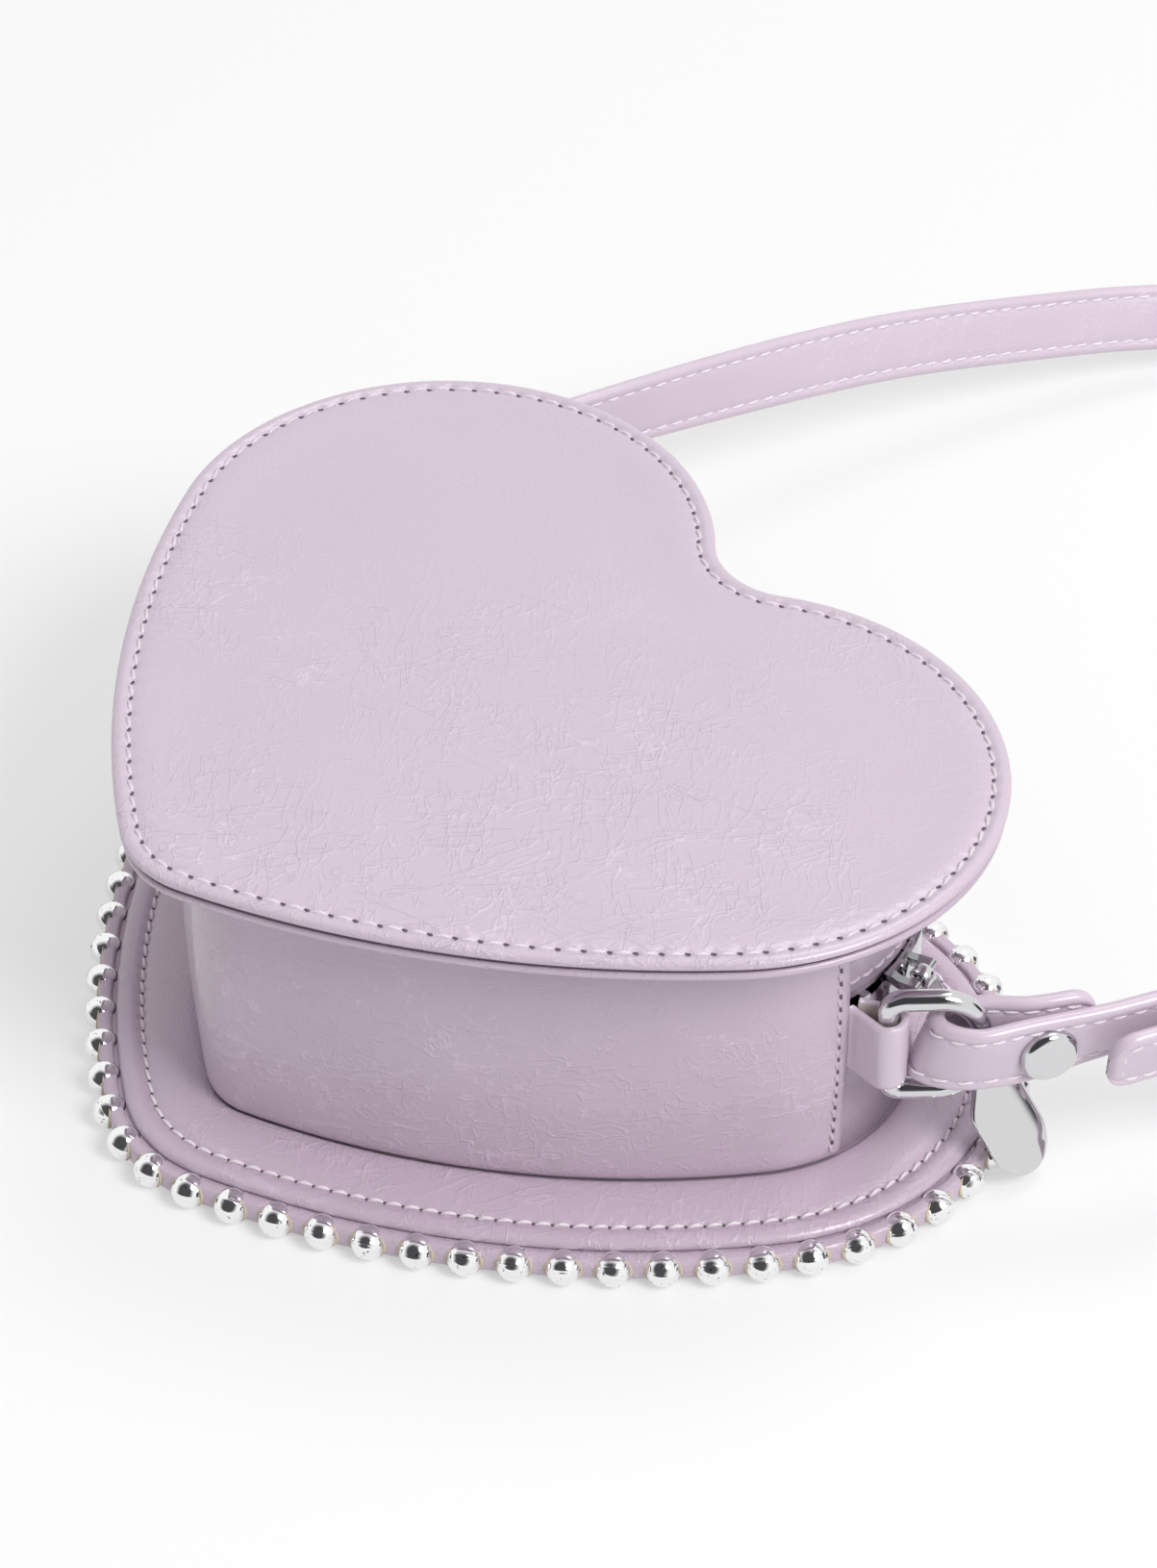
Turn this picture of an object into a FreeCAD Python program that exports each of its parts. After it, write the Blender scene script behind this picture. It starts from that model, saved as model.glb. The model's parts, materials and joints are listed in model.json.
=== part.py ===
import FreeCAD, Part
import math
import os

# Heart shaped purse, lying on its studded front face. Millimetres, +Z from the front face to the back
# panel, +Y from the heart's tip to its notch, origin on the floor at the middle of the front heart.

V = FreeCAD.Vector
UP = V(0, 0, 1)

# Front heart, measured at its row of topstitching
front_lobe_radius = 40.0
front_lobe_offset = 42.25
front_tip_drop = 64.15
front_tip_radius = 21.2
front_side_radius = 153.0
front_notch_radius = 17.6

# Back heart, measured at its row of topstitching
back_lobe_radius = 43.8
back_lobe_offset = 38.0
back_tip_drop = 68.8
back_tip_radius = 15.5
back_side_radius = 177.5
back_notch_radius = 17.1
back_shift = 1.73

# Panels and the layers between them
leather = 1.2
lining = 0.5
front_board_thickness = 1.2
front_pad_thickness = 1.9
back_board_thickness = 0.9
front_rim = 4.5
back_rim = 2.7
back_groove = 0.4
flange_turn_in = 1.4
rim_rounding = 0.55
gusset_height = 56.0
gusset_inset = 9.6
lap = 6.0

# Studded piping between the front panel and the front flange
piping_tail = 2.0
bead_offset = 7.1
bead_radius = 2.8
bead_pitch = 8.05
bead_lift = 2.9
bead_socket_gap = 0.12
piping_past_bead = 0.9
bead_cord_radius = 0.4
bead_bore_radius = 0.85

# Zipper round the two lobes
seam_drop = 2.2
zip_height = 36.3
zip_opening = 8.4
tape_thickness = 0.6
tape_width = 12.0
tape_gap = 2.8
tooth_pitch = 2.6
tooth_length = 1.1
tooth_depth = 2.4
tooth_reach = 1.2
zip_clearance = 0.3
slider_angle = 26.0
slider_length = 12.0
slider_width = 8.0
slider_plate = 1.2
slider_post = 2.0
crown_radius = 0.8
crown_rise = 2.4
crown_span = 4.4
crown_post = 1.6
stop_length = 1.6
stop_ahead = 3.4

# Zipper pull
pull_rest_gap = 3.0
pull_tip_height = 2.5
pull_thickness = 1.2
pull_stem_width = 4.0
pull_stem_length = 20.0
pull_flare = 6.0
pull_width = 12.4
pull_eye_wall = 0.6
pull_eye_length = 2.4
pull_eye_gap = 0.55
pull_twist = 16.0

# D-rings and the leather tabs that hold them
ring_wire = 3.6
ring_inner_width = 15.6
ring_depth = 15.0
ring_bar_corner = 2.6
ring_bow_corner = 7.0
ring_angle = 54.0
left_ring_turn = 20.0
ring_below_zip = 2.9
bar_stand_off = 7.0
bar_ahead = 1.5
bar_gap = 0.3
tab_width = 14.0
tab_leather = 1.4
tab_root = 2.6

# Strap
strap_width = 13.0
strap_thickness = 2.8
strap_gap = 0.4
rivet_cap_radius = 4.9
rivet_cap_height = 1.7
rivet_back_radius = 2.4
rivet_back_height = 1.2
rivet_post_radius = 1.5
rivet_gap = 0.1
tip_rounding = 4.2
strap_floor_gap = 0.2

# Buckle and keeper on the strap
buckle_wire = 2.8
buckle_inner_width = 15.0
buckle_reach = 16.0
buckle_rise = 4.5
buckle_corner = 3.0
hem_leather = 1.6
hem_gap = 0.2
hem_slot = 4.0
prong_radius = 1.0
prong_past_bar = 1.5
prong_rest_gap = 0.3
prong_eye_wall = 1.0
prong_eye_length = 3.2
prong_eye_gap = 0.3
prong_slot_gap = 0.45
prong_lift = 30.0
keeper_length = 7.0
keeper_wall = 1.2
keeper_gap = 0.3
keeper_place = 25.0

# Levels, from the floor up
front_leather_top = leather
front_board_top = front_leather_top + front_board_thickness
piping_top = front_board_top + front_pad_thickness
front_flange_top = piping_top + leather
gusset_top = front_flange_top + gusset_height
back_flange_top = gusset_top + leather
back_board_top = back_flange_top + back_board_thickness
back_top = back_board_top + leather + back_groove

# Offsets from the front stitch line to the layers of the gusset
gusset_outside = -gusset_inset
zip_wall_outside = gusset_outside - leather
zip_wall_inside = zip_wall_outside - leather
tape_inside = zip_wall_inside - tape_thickness
tooth_middle = zip_wall_outside - tooth_depth / 2 - 0.1
wall_lining_outside = tape_inside - 0.2
wall_lining_inside = wall_lining_outside - lining
flange_inside = wall_lining_inside - flange_turn_in
piping_outside = bead_offset + piping_past_bead


class Heart:
    """Heart outline of tangent arcs. Its stitch line has offset 0, and a larger offset is further out."""

    def __init__(self, lobe_radius, lobe_offset, tip_drop, tip_radius, side_radius, notch_radius, shift):
        lobe_y = (tip_drop + tip_radius - lobe_radius) / 2 + shift
        self.lobe_radius = lobe_radius
        self.lobe = V(lobe_offset, lobe_y, 0)
        tip = V(0, lobe_y - tip_drop, 0)
        notch = V(0, lobe_y + math.sqrt((lobe_radius + notch_radius) ** 2 - lobe_offset ** 2), 0)
        to_lobe = side_radius - lobe_radius
        to_tip = side_radius - tip_radius
        span = (tip - self.lobe).Length
        along = (to_lobe ** 2 - to_tip ** 2 + span ** 2) / (2 * span)
        across = math.sqrt(to_lobe ** 2 - along ** 2)
        down = (tip - self.lobe) / span
        side = self.lobe + down * along + V(down.y, -down.x, 0) * across
        low = math.atan2(tip.y - side.y, tip.x - side.x)
        wide = math.atan2(self.lobe.y - side.y, self.lobe.x - side.x)
        high = math.atan2(notch.y - lobe_y, -lobe_offset)
        self.high = high
        half = [
            (tip, tip_radius, 1, -math.pi / 2, low),
            (side, side_radius, 1, low, wide),
            (self.lobe, lobe_radius, 1, wide, high),
            (notch, notch_radius, -1, high - math.pi, -math.pi / 2),
        ]
        other = []
        for centre, radius, bulge, start, end in reversed(half):
            mirrored = V(-centre.x, centre.y, 0)
            other.append((mirrored, radius, bulge, math.pi - end, math.pi - start))
        self.arcs = half + other

    def at(self, arc, offset, angle):
        """Point on one arc, at an offset and an angle about the arc's centre."""
        centre, radius, bulge = arc[:3]
        reach = radius + bulge * offset
        return centre + V(reach * math.cos(angle), reach * math.sin(angle), 0)

    def wire(self, offset, height=0.0):
        """Closed outline at an offset and a height."""
        lift = UP * height
        edges = []
        for arc in self.arcs:
            start, end = arc[3:]
            middle = (start + end) / 2
            points = [self.at(arc, offset, angle) + lift for angle in (start, middle, end)]
            edges.append(Part.Arc(*points).toShape())
        return Part.Wire(edges)

    def plate(self, offset, low, high):
        """Solid plate inside the outline, between two heights."""
        return Part.Face(self.wire(offset, low)).extrude(UP * (high - low))

    def ring(self, outside, inside, low, high):
        """Solid band between two offsets and two heights."""
        return self.plate(outside, low, high).cut(self.plate(inside, low, high))

    def station(self, offset, distance):
        """Point and direction after going a distance along the outline, counter-clockwise from the tip."""
        for arc in self.arcs:
            bulge, start, end = arc[2:]
            reach = arc[1] + bulge * offset
            length = reach * abs(end - start)
            if distance <= length:
                break
            distance -= length
        turn = 1 if end > start else -1
        angle = start + turn * min(distance, length) / reach
        heading = math.degrees(angle) + 90 * turn
        return self.at(arc, offset, angle), heading

    def length(self, offset):
        """Length of the whole outline."""
        return sum((arc[1] + arc[2] * offset) * abs(arc[4] - arc[3]) for arc in self.arcs)


front = Heart(front_lobe_radius, front_lobe_offset, front_tip_drop, front_tip_radius,
              front_side_radius, front_notch_radius, 0.0)
back = Heart(back_lobe_radius, back_lobe_offset, back_tip_drop, back_tip_radius,
             back_side_radius, back_notch_radius, back_shift)
far = 4 * (front_lobe_radius + front_lobe_offset)
seam_y = front.lobe.y - seam_drop


def slab(low, high):
    """Large block between two values of y, to split the gusset at its seams."""
    return Part.makeBox(2 * far, high - low, 2 * far, V(-far, low, -far))


def beyond_seam(shape, overlap):
    """The part of a wall on the notch side of the seams, with an overlap under the tip's side."""
    return shape.common(slab(seam_y - overlap, far))


def round_edges(shape, radius, level, inner=None):
    """Fillet the outline edges of a plate at one level."""
    edges = []
    for edge in shape.Edges:
        box = edge.BoundBox
        if abs(box.ZMin - level) < 1e-6 and abs(box.ZMax - level) < 1e-6:
            middle = edge.valueAt((edge.FirstParameter + edge.LastParameter) / 2)
            if inner is None or not inner.isInside(V(middle.x, middle.y, level), 1e-6, True):
                edges.append(edge)
    return shape.makeFillet(radius, edges)


def mirror(shape):
    """The same piece on the other side of the heart."""
    return shape.mirror(V(0, 0, 0), V(1, 0, 0))


def disc(centre, axis, radius, start, end):
    """Round bar about an axis, between two distances along it."""
    return Part.makeCylinder(radius, end - start, centre + axis * start, axis)


def tube_along(wire, radius):
    """Round wire swept along a path of lines and arcs."""
    edge = wire.OrderedEdges[0]
    start = edge.valueAt(edge.FirstParameter)
    heading = edge.tangentAt(edge.FirstParameter)
    section = Part.Wire([Part.Circle(start, heading, radius).toShape()])
    sweep = Part.BRepOffsetAPI.MakePipeShell(wire)
    sweep.add(section)
    sweep.build()
    sweep.makeSolid()
    return sweep.shape()


def rounded_loop(corners, radii):
    """Closed path of straight runs joined by tangent arcs, one radius for each corner."""
    count = len(corners)
    edges = []
    ends = []
    for i in range(count):
        corner = corners[i]
        back_way = (corners[i - 1] - corner).normalize()
        on_way = (corners[(i + 1) % count] - corner).normalize()
        half = back_way.getAngle(on_way) / 2
        cut = radii[i] / math.tan(half)
        bisector = (back_way + on_way).normalize()
        middle = corner + bisector * (radii[i] / math.sin(half) - radii[i])
        ends.append((corner + back_way * cut, middle, corner + on_way * cut))
    for i in range(count):
        edges.append(Part.LineSegment(ends[i - 1][2], ends[i][0]).toShape())
        edges.append(Part.Arc(*ends[i]).toShape())
    return Part.Wire(edges)


nodes = {}

# Back panel: topstitched leather, a board, and the under flange that the gusset is sewn to
back_panel = back.plate(back_rim, back_board_top, back_top)
back_panel = round_edges(back_panel, rim_rounding, back_top)
nodes["back_panel"] = round_edges(back_panel, rim_rounding, back_board_top)
nodes["back_board"] = back.plate(-back_rim, back_flange_top, back_board_top)
back_flange = back.ring(back_rim - back_groove, flange_inside, gusset_top, back_flange_top)
nodes["back_flange"] = back_flange
nodes["back_lining"] = back.plate(flange_inside - zip_clearance, back_flange_top - lining, back_flange_top)

# Front panel: leather face, board and padding, and the flange above the studded piping
front_panel = front.plate(front_rim, 0.0, front_leather_top)
nodes["front_panel"] = round_edges(front_panel, rim_rounding, 0.0)
nodes["front_board"] = front.plate(-piping_tail - zip_clearance, front_leather_top, front_board_top)
nodes["front_padding"] = front.plate(-piping_tail - zip_clearance, front_board_top, piping_top)
front_flange = front.ring(front_rim, flange_inside, piping_top, front_flange_top)
nodes["front_flange"] = front_flange
nodes["front_lining"] = front.plate(flange_inside - zip_clearance, piping_top, piping_top + lining)

# Studded piping: a folded strip with a socket for each bead, and the beads strung on their cord
bead_count = round(front.length(bead_offset) / bead_pitch)
bead_step = front.length(bead_offset) / bead_count
bead_level = UP * bead_lift
cord_wire = front.wire(bead_offset, bead_lift)
cord_bore = tube_along(cord_wire, bead_bore_radius)
bore_half = math.sqrt(bead_radius ** 2 - bead_bore_radius ** 2)
bead_start = V(-bore_half, bead_bore_radius, 0)
bead_end = V(bore_half, bead_bore_radius, 0)
bead_edges = [Part.Arc(bead_start, V(0, bead_radius, 0), bead_end), Part.LineSegment(bead_end, bead_start)]
bead_profile = Part.Face(Part.Wire([edge.toShape() for edge in bead_edges]))
beads = []
sockets = []
for i in range(bead_count):
    place, heading = front.station(bead_offset, (i + 0.5) * bead_step)
    place = place + bead_level
    bead = bead_profile.revolve(V(0, 0, 0), V(1, 0, 0), 360)
    bead.Placement = FreeCAD.Placement(place, FreeCAD.Rotation(UP, heading))
    beads.append(bead)
    sockets.append(Part.makeSphere(bead_radius + bead_socket_gap, place))
piping = front.ring(piping_outside, -piping_tail, front_leather_top, piping_top)
nodes["stud_piping"] = piping.cut(Part.Compound(sockets)).cut(cord_bore)
nodes["stud_beads"] = Part.Compound(beads)
nodes["bead_cord"] = tube_along(cord_wire, bead_cord_radius)
print("beads", bead_count, "apart", round(bead_step, 3))

# Gusset: one piece round the tip, and two strips round the lobes on each side of the zipper
wall = front.ring(gusset_outside, zip_wall_outside, front_flange_top, gusset_top)
nodes["tip_gusset"] = wall.common(slab(-far, seam_y))
zip_low = zip_height - zip_opening / 2
zip_high = zip_height + zip_opening / 2
front_strip = front.ring(zip_wall_outside, zip_wall_inside, front_flange_top, zip_low)
back_strip = front.ring(zip_wall_outside, zip_wall_inside, zip_high, gusset_top)
nodes["zip_strip_front"] = beyond_seam(front_strip, lap)
nodes["zip_strip_back"] = beyond_seam(back_strip, lap)
wall_lining = front.ring(wall_lining_outside, wall_lining_inside, front_flange_top, gusset_top)
lining_slot = Part.makeBox(2 * far, 2 * far, tape_width, V(-far, seam_y - lap, zip_height - tape_width / 2))
nodes["wall_lining"] = wall_lining.cut(lining_slot)

# Zipper tapes
tape_half = tape_gap / 2
back_tape = front.ring(zip_wall_inside, tape_inside, zip_height + tape_half, zip_height + tape_width)
front_tape = front.ring(zip_wall_inside, tape_inside, zip_height - tape_width, zip_height - tape_half)
nodes["zip_tape_back"] = beyond_seam(back_tape, 0.0)
nodes["zip_tape_front"] = beyond_seam(front_tape, 0.0)


def track_distance(angle):
    """Distance along the teeth's line to an angle about the near lobe's centre."""
    before = 0.0
    for arc in front.arcs[:2]:
        before += (arc[1] + arc[2] * tooth_middle) * abs(arc[4] - arc[3])
    reach = front_lobe_radius + tooth_middle
    return before + reach * (angle - front.arcs[2][3])


def block(place, heading, length, depth, low, high):
    """Small block on the zipper's line: its length runs along the line."""
    shape = Part.makeBox(length, depth, high - low, V(-length / 2, -depth / 2, low))
    shape.Placement = FreeCAD.Placement(place, FreeCAD.Rotation(UP, heading))
    return shape


# Teeth: two rows that mesh, from inside the slider's mouth to the far end of the zipper
slider_turn = math.radians(slider_angle)
track_radius = front_lobe_radius + tooth_middle
half_turn = slider_length / 2 / track_radius
teeth_start = track_distance(slider_turn - half_turn) + slider_post + 2 * tooth_length
seam_angle = math.asin(-seam_drop / track_radius)
teeth_end = front.length(tooth_middle) - track_distance(seam_angle) - 2 * tooth_pitch
tooth_count = int((teeth_end - teeth_start) / tooth_pitch)
back_teeth = []
front_teeth = []
for i in range(tooth_count):
    place, heading = front.station(tooth_middle, teeth_start + i * tooth_pitch)
    low = zip_height - tooth_reach
    back_teeth.append(block(place, heading, tooth_length, tooth_depth, low, zip_height + tape_half))
    place, heading = front.station(tooth_middle, teeth_start + (i + 0.5) * tooth_pitch)
    high = zip_height + tooth_reach
    front_teeth.append(block(place, heading, tooth_length, tooth_depth, zip_height - tape_half, high))
nodes["zip_teeth_back"] = Part.Compound(back_teeth)
nodes["zip_teeth_front"] = Part.Compound(front_teeth)
print("teeth in a row", tooth_count)

# Stops: one clamped on each tape ahead of the slider, and one across both tapes at the far end
ahead = track_distance(slider_turn - half_turn) - stop_ahead
place, heading = front.station(tooth_middle, ahead)
stop_top = zip_height + tape_half
stop_low = zip_height - tape_half
top_stops = [
    block(place, heading, stop_length, tooth_depth, zip_height + 0.2, stop_top),
    block(place, heading, stop_length, tooth_depth, stop_low, zip_height - 0.2),
]
nodes["zip_top_stops"] = Part.Compound(top_stops)
place, heading = front.station(tooth_middle, teeth_end + tooth_pitch)
nodes["zip_bottom_stop"] = block(place, heading, stop_length, tooth_depth, stop_low, stop_top)

# Slider: an outer and an inner plate on a post, with a crown rod that carries the pull
lobe = front.lobe
outward = V(math.cos(slider_turn), math.sin(slider_turn), 0)
forward = V(-math.sin(slider_turn), math.cos(slider_turn), 0)


def curved_plate(inside, outside):
    """Plate of the slider, bent to the lobe."""
    low = zip_height - slider_width / 2
    start = math.degrees(slider_turn - half_turn)
    span = math.degrees(2 * half_turn)
    outer = Part.makeCylinder(outside, slider_width, lobe + UP * low, UP, span)
    inner = Part.makeCylinder(inside, slider_width, lobe + UP * low, UP, span)
    plate = outer.cut(inner)
    plate.rotate(lobe, UP, start)
    return plate


wall_radius = front_lobe_radius + zip_wall_outside
tooth_inner = track_radius - tooth_depth / 2
outer_plate_low = wall_radius + zip_clearance
outer_plate_high = outer_plate_low + slider_plate
inner_plate_high = tooth_inner - zip_clearance
inner_plate_low = inner_plate_high - slider_plate
crown_reach = outer_plate_high + crown_rise
crown_centre = lobe + outward * crown_reach + UP * zip_height
post_turn = -half_turn + slider_post / track_radius
post_way = V(math.cos(slider_turn + post_turn), math.sin(slider_turn + post_turn), 0)
post_depth = outer_plate_low - inner_plate_high + slider_plate
post = block(V(0, 0, 0), 0, slider_post, post_depth, -slider_post / 2, slider_post / 2)
post_place = lobe + post_way * ((outer_plate_low + inner_plate_high) / 2) + UP * zip_height
post_heading = math.degrees(slider_turn + post_turn) + 90
post.Placement = FreeCAD.Placement(post_place, FreeCAD.Rotation(UP, post_heading))
crown_half = crown_span / 2
rod = disc(crown_centre, forward, crown_radius, -crown_half - crown_post, crown_half + crown_post)
slider = curved_plate(outer_plate_low, outer_plate_high).fuse(curved_plate(inner_plate_low, inner_plate_high))
slider = slider.fuse([post, rod])
for side in (-1, 1):
    foot = crown_centre + forward * (side * (crown_half + crown_post / 2)) - outward * (crown_rise + slider_plate / 2)
    leg = Part.makeBox(crown_post, crown_rise + slider_plate / 2, 2 * crown_radius,
                       V(-crown_post / 2, -crown_rise - slider_plate / 2, -crown_radius))
    leg.Placement = FreeCAD.Placement(foot + outward * (crown_rise + slider_plate / 2),
                                      FreeCAD.Rotation(UP, slider_angle - 90))
    slider = slider.fuse(leg)
nodes["zip_slider"] = slider.removeSplitter()

# Pull: a rolled eye on the crown, a narrow stem and a paddle with a round end. It leans out past the bead row,
# and its loose eye lets it turn a little about its own length.
to_beads = front_lobe_radius + bead_offset - crown_reach
above_beads = zip_height - bead_lift
lean_gap = bead_radius + pull_thickness / 2 + pull_rest_gap
pull_lean = math.atan2(to_beads, above_beads) + math.asin(lean_gap / math.hypot(to_beads, above_beads))
pull_angle = math.degrees(pull_lean)
pull_length = (zip_height - pull_tip_height) / math.cos(pull_lean)
print("pull leans", round(pull_angle, 2), "degrees, length", round(pull_length, 2))
eye_radius = crown_radius + pull_eye_gap + pull_eye_wall
eye = disc(V(0, 0, 0), V(1, 0, 0), eye_radius, -pull_eye_length / 2, pull_eye_length / 2)
eye_bore = disc(V(0, 0, 0), V(1, 0, 0), crown_radius + pull_eye_gap, -pull_eye_length, pull_eye_length)
stem_half = pull_stem_width / 2
paddle_half = pull_width / 2
flare_end = pull_stem_length + pull_flare
round_start = pull_length - paddle_half
outline = [
    Part.LineSegment(V(stem_half, 0, 0), V(stem_half, 0, -pull_stem_length)),
    Part.LineSegment(V(stem_half, 0, -pull_stem_length), V(paddle_half, 0, -flare_end)),
    Part.LineSegment(V(paddle_half, 0, -flare_end), V(paddle_half, 0, -round_start)),
    Part.Arc(V(paddle_half, 0, -round_start), V(0, 0, -pull_length), V(-paddle_half, 0, -round_start)),
    Part.LineSegment(V(-paddle_half, 0, -round_start), V(-paddle_half, 0, -flare_end)),
    Part.LineSegment(V(-paddle_half, 0, -flare_end), V(-stem_half, 0, -pull_stem_length)),
    Part.LineSegment(V(-stem_half, 0, -pull_stem_length), V(-stem_half, 0, 0)),
    Part.LineSegment(V(-stem_half, 0, 0), V(stem_half, 0, 0)),
]
blade = Part.Face(Part.Wire([line.toShape() for line in outline])).extrude(V(0, pull_thickness, 0))
blade.translate(V(0, -pull_thickness / 2, 0))
pull = blade.fuse(eye).cut(eye_bore).removeSplitter()
pull.rotate(V(0, 0, 0), UP, -pull_twist)
pull.rotate(V(0, 0, 0), V(1, 0, 0), -pull_angle)
pull.rotate(V(0, 0, 0), UP, slider_angle + 90)
pull.translate(crown_centre)
nodes["zip_pull"] = pull

# D-ring tabs: leather folded round the ring's bar, with both ends sewn into the side seam
bar_radius = ring_wire / 2
bar = lobe + V(wall_radius + bar_stand_off, bar_ahead, 0)
ring_height = zip_height - ring_below_zip
root = V(lobe.x + wall_radius * math.cos(seam_angle), seam_y, 0)
root_way = (bar - root).normalize()
root_side = V(root_way.y, -root_way.x, 0)
tab_radius = bar_radius + bar_gap + tab_leather
tab_low = ring_height - tab_width / 2
tab_high = ring_height + tab_width / 2
tab_start = root + V(tab_root / 2, 0, 0)
corners = [
    tab_start - V(tab_root / 2, 0, 0),
    tab_start + V(tab_root / 2, 0, 0),
    bar + root_side * tab_radius,
    bar - root_side * tab_radius,
]
blade = Part.Face(Part.makePolygon(corners + corners[:1])).extrude(UP * tab_width)
fold = Part.makeCylinder(tab_radius, tab_width)
fold.translate(bar)
tab = blade.fuse(fold).cut(Part.makeCylinder(bar_radius + bar_gap, tab_width, bar)).removeSplitter()
tab.translate(UP * tab_low)
clear_wall = Part.makeCylinder(wall_radius, 2 * far, lobe)
tab = tab.cut(clear_wall)
nodes["ring_tab_right"] = tab
nodes["ring_tab_left"] = mirror(tab)

# D-rings
ring_way = V(math.cos(math.radians(ring_angle)), math.sin(math.radians(ring_angle)), 0)
bow = bar + ring_way * ring_depth
half_height = ring_inner_width / 2 + bar_radius
middle = UP * ring_height
ring_corners = [
    bar + middle - UP * half_height,
    bow + middle - UP * half_height,
    bow + middle + UP * half_height,
    bar + middle + UP * half_height,
]
ring_path = rounded_loop(ring_corners, [ring_bar_corner, ring_bow_corner, ring_bow_corner, ring_bar_corner])
ring = tube_along(ring_path, bar_radius)
nodes["d_ring_right"] = ring
left_bar = V(-bar.x, bar.y, 0)
left_ring = mirror(ring)
left_ring.rotate(left_bar, UP, -left_ring_turn)
nodes["d_ring_left"] = left_ring

# Strap. Both ends loop through a D-ring and are riveted to themselves. Each route is a list of points
# on the middle of the strap, which stands on its edge, and starts at the tip of the folded end.
layer_step = strap_thickness + strap_gap
rest_height = strap_width / 2 + strap_floor_gap
rivet_axis = V(0.944, -0.330, 0).normalize()
strap_start = V(-rivet_axis.y, rivet_axis.x, 0)


def beside(bar_place, x, y, share):
    """Point beside a ring's bar. Its height is a share of the way from the floor run up to the ring."""
    return bar_place + V(x, y, rest_height + (ring_height - rest_height) * share)


rivet_place = beside(bar, 15.95, 19.83, 1)


def near_rivet(along, layer):
    """Point on one of the two layers that the rivet holds, at a distance from the rivet."""
    return rivet_place + strap_start * along - rivet_axis * (layer * layer_step)


ring_loop = [near_rivet(9.5, 1), near_rivet(0.0, 1.01), near_rivet(-4.6, 1)]
for x, y in [(5.55, 15.43), (3.15, 11.23), (1.35, 7.23), (4.15, 4.03), (8.85, 6.03)]:
    ring_loop.append(beside(bar, x, y, 1))
ring_loop += [near_rivet(-10.0, 0), near_rivet(11.0, 0)]
buckle = beside(bar, 48.35, 94.83, 0.386)


def on_left(point):
    """The same point at the other ring, which hangs at its own angle."""
    turn = FreeCAD.Rotation(UP, -left_ring_turn)
    return left_bar + turn.multVec(V(-point.x, point.y, point.z) - left_bar)


# The long strap leaves the far ring, comes down to the floor behind the purse, and is folded beside it
far_run = [
    (-7.55, 52.8, 0.99), (-4.75, 72.8, 0.956), (-3.15, 92.8, 0.877), (-1.75, 113.8, 0.768), (0.45, 135.8, 0.64),
    (5.65, 162.8, 0.452), (13.15, 192.8, 0.254), (28.45, 221.8, 0.079), (54.45, 247.8, 0), (90.45, 266.8, 0),
]
folded_run = [
    (-20.45, 273.8, 0), (25.55, 266.8, 0), (67.55, 244.8, 0), (103.55, 213.8, 0), (132.55, 182.8, 0),
    (143.55, 161.8, 0), (134.55, 145.8, 0), (113.55, 153.8, 0), (82.55, 183.8, 0), (51.55, 216.8, 0),
    (25.55, 239.8, 0), (4.55, 243.8, 0), (-5.45, 229.8, 0), (3.55, 210.8, 0), (31.55, 183.8, 0),
    (55.55, 162.8, 0), (67.05, 152.3, 0.004), (67.55, 138.8, 0.035),
]
long_route = [on_left(point) for point in ring_loop]
long_route += [beside(left_bar, x, y, share) for x, y, share in far_run]
long_route += [beside(bar, x, y, share) for x, y, share in folded_run]

# Directions at the buckle: along the strap, towards the bag, and across the strap's width
strap_way = (buckle - ring_loop[-1]).normalize()
inward = V(-strap_way.y, strap_way.x, 0).normalize()
across = strap_way.cross(inward)
at_buckle = FreeCAD.Placement(buckle, FreeCAD.Rotation(strap_way, inward, across, "XZY"))


def by_buckle(along, over):
    """Point beside the buckle's bar: a distance along the strap and one towards the strap's outer side."""
    return buckle + strap_way * along - inward * over


bar_half = buckle_wire / 2
hem_inside = bar_half + hem_gap
hem_outside = hem_inside + hem_leather
over_hem = hem_outside + 2 * strap_gap + strap_thickness / 2
under_front = buckle_rise - bar_half - 2 * strap_gap - strap_thickness / 2
split_along = buckle_reach * 0.6
split_over = over_hem + (under_front - over_hem) * split_along / buckle_reach
tail_route = [
    by_buckle(split_along, split_over),
    by_buckle(0.0, over_hem),
    by_buckle(-14.0, layer_step),
    by_buckle(-36.0, layer_step),
    by_buckle(-56.0, 4.4),
    by_buckle(-75.0, 6.6),
]
long_route += [
    by_buckle(34.0, 0.4),
    by_buckle(buckle_reach, under_front),
    by_buckle(split_along, split_over),
]
short_route = ring_loop + [by_buckle(-hem_inside - hem_leather / 2, 0.0)]


def strap_path(name, points):
    """Path of straight runs and tangent arcs through a route's points, with its radii printed."""
    edges = []
    radii = []
    start = points[0]
    for before, corner, after in zip(points, points[1:], points[2:]):
        run_in = corner - before
        run_out = after - corner
        turn = run_in.getAngle(run_out)
        cut = 0.45 * min(run_in.Length, run_out.Length)
        way_in = run_in.normalize()
        way_out = run_out.normalize()
        arc_start = corner - way_in * cut
        arc_end = corner + way_out * cut
        edges.append(Part.LineSegment(start, arc_start).toShape())
        if turn > 0.002:
            radius = cut / math.tan(turn / 2)
            radii.append(round(radius, 1))
            inside = (way_out - way_in).normalize()
            middle = corner + inside * (radius / math.cos(turn / 2) - radius)
            edges.append(Part.Arc(arc_start, middle, arc_end).toShape())
        else:
            edges.append(Part.LineSegment(arc_start, arc_end).toShape())
        start = arc_end
    edges.append(Part.LineSegment(start, points[-1]).toShape())
    print(name, "radii", radii)
    return Part.Wire(edges)


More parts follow.
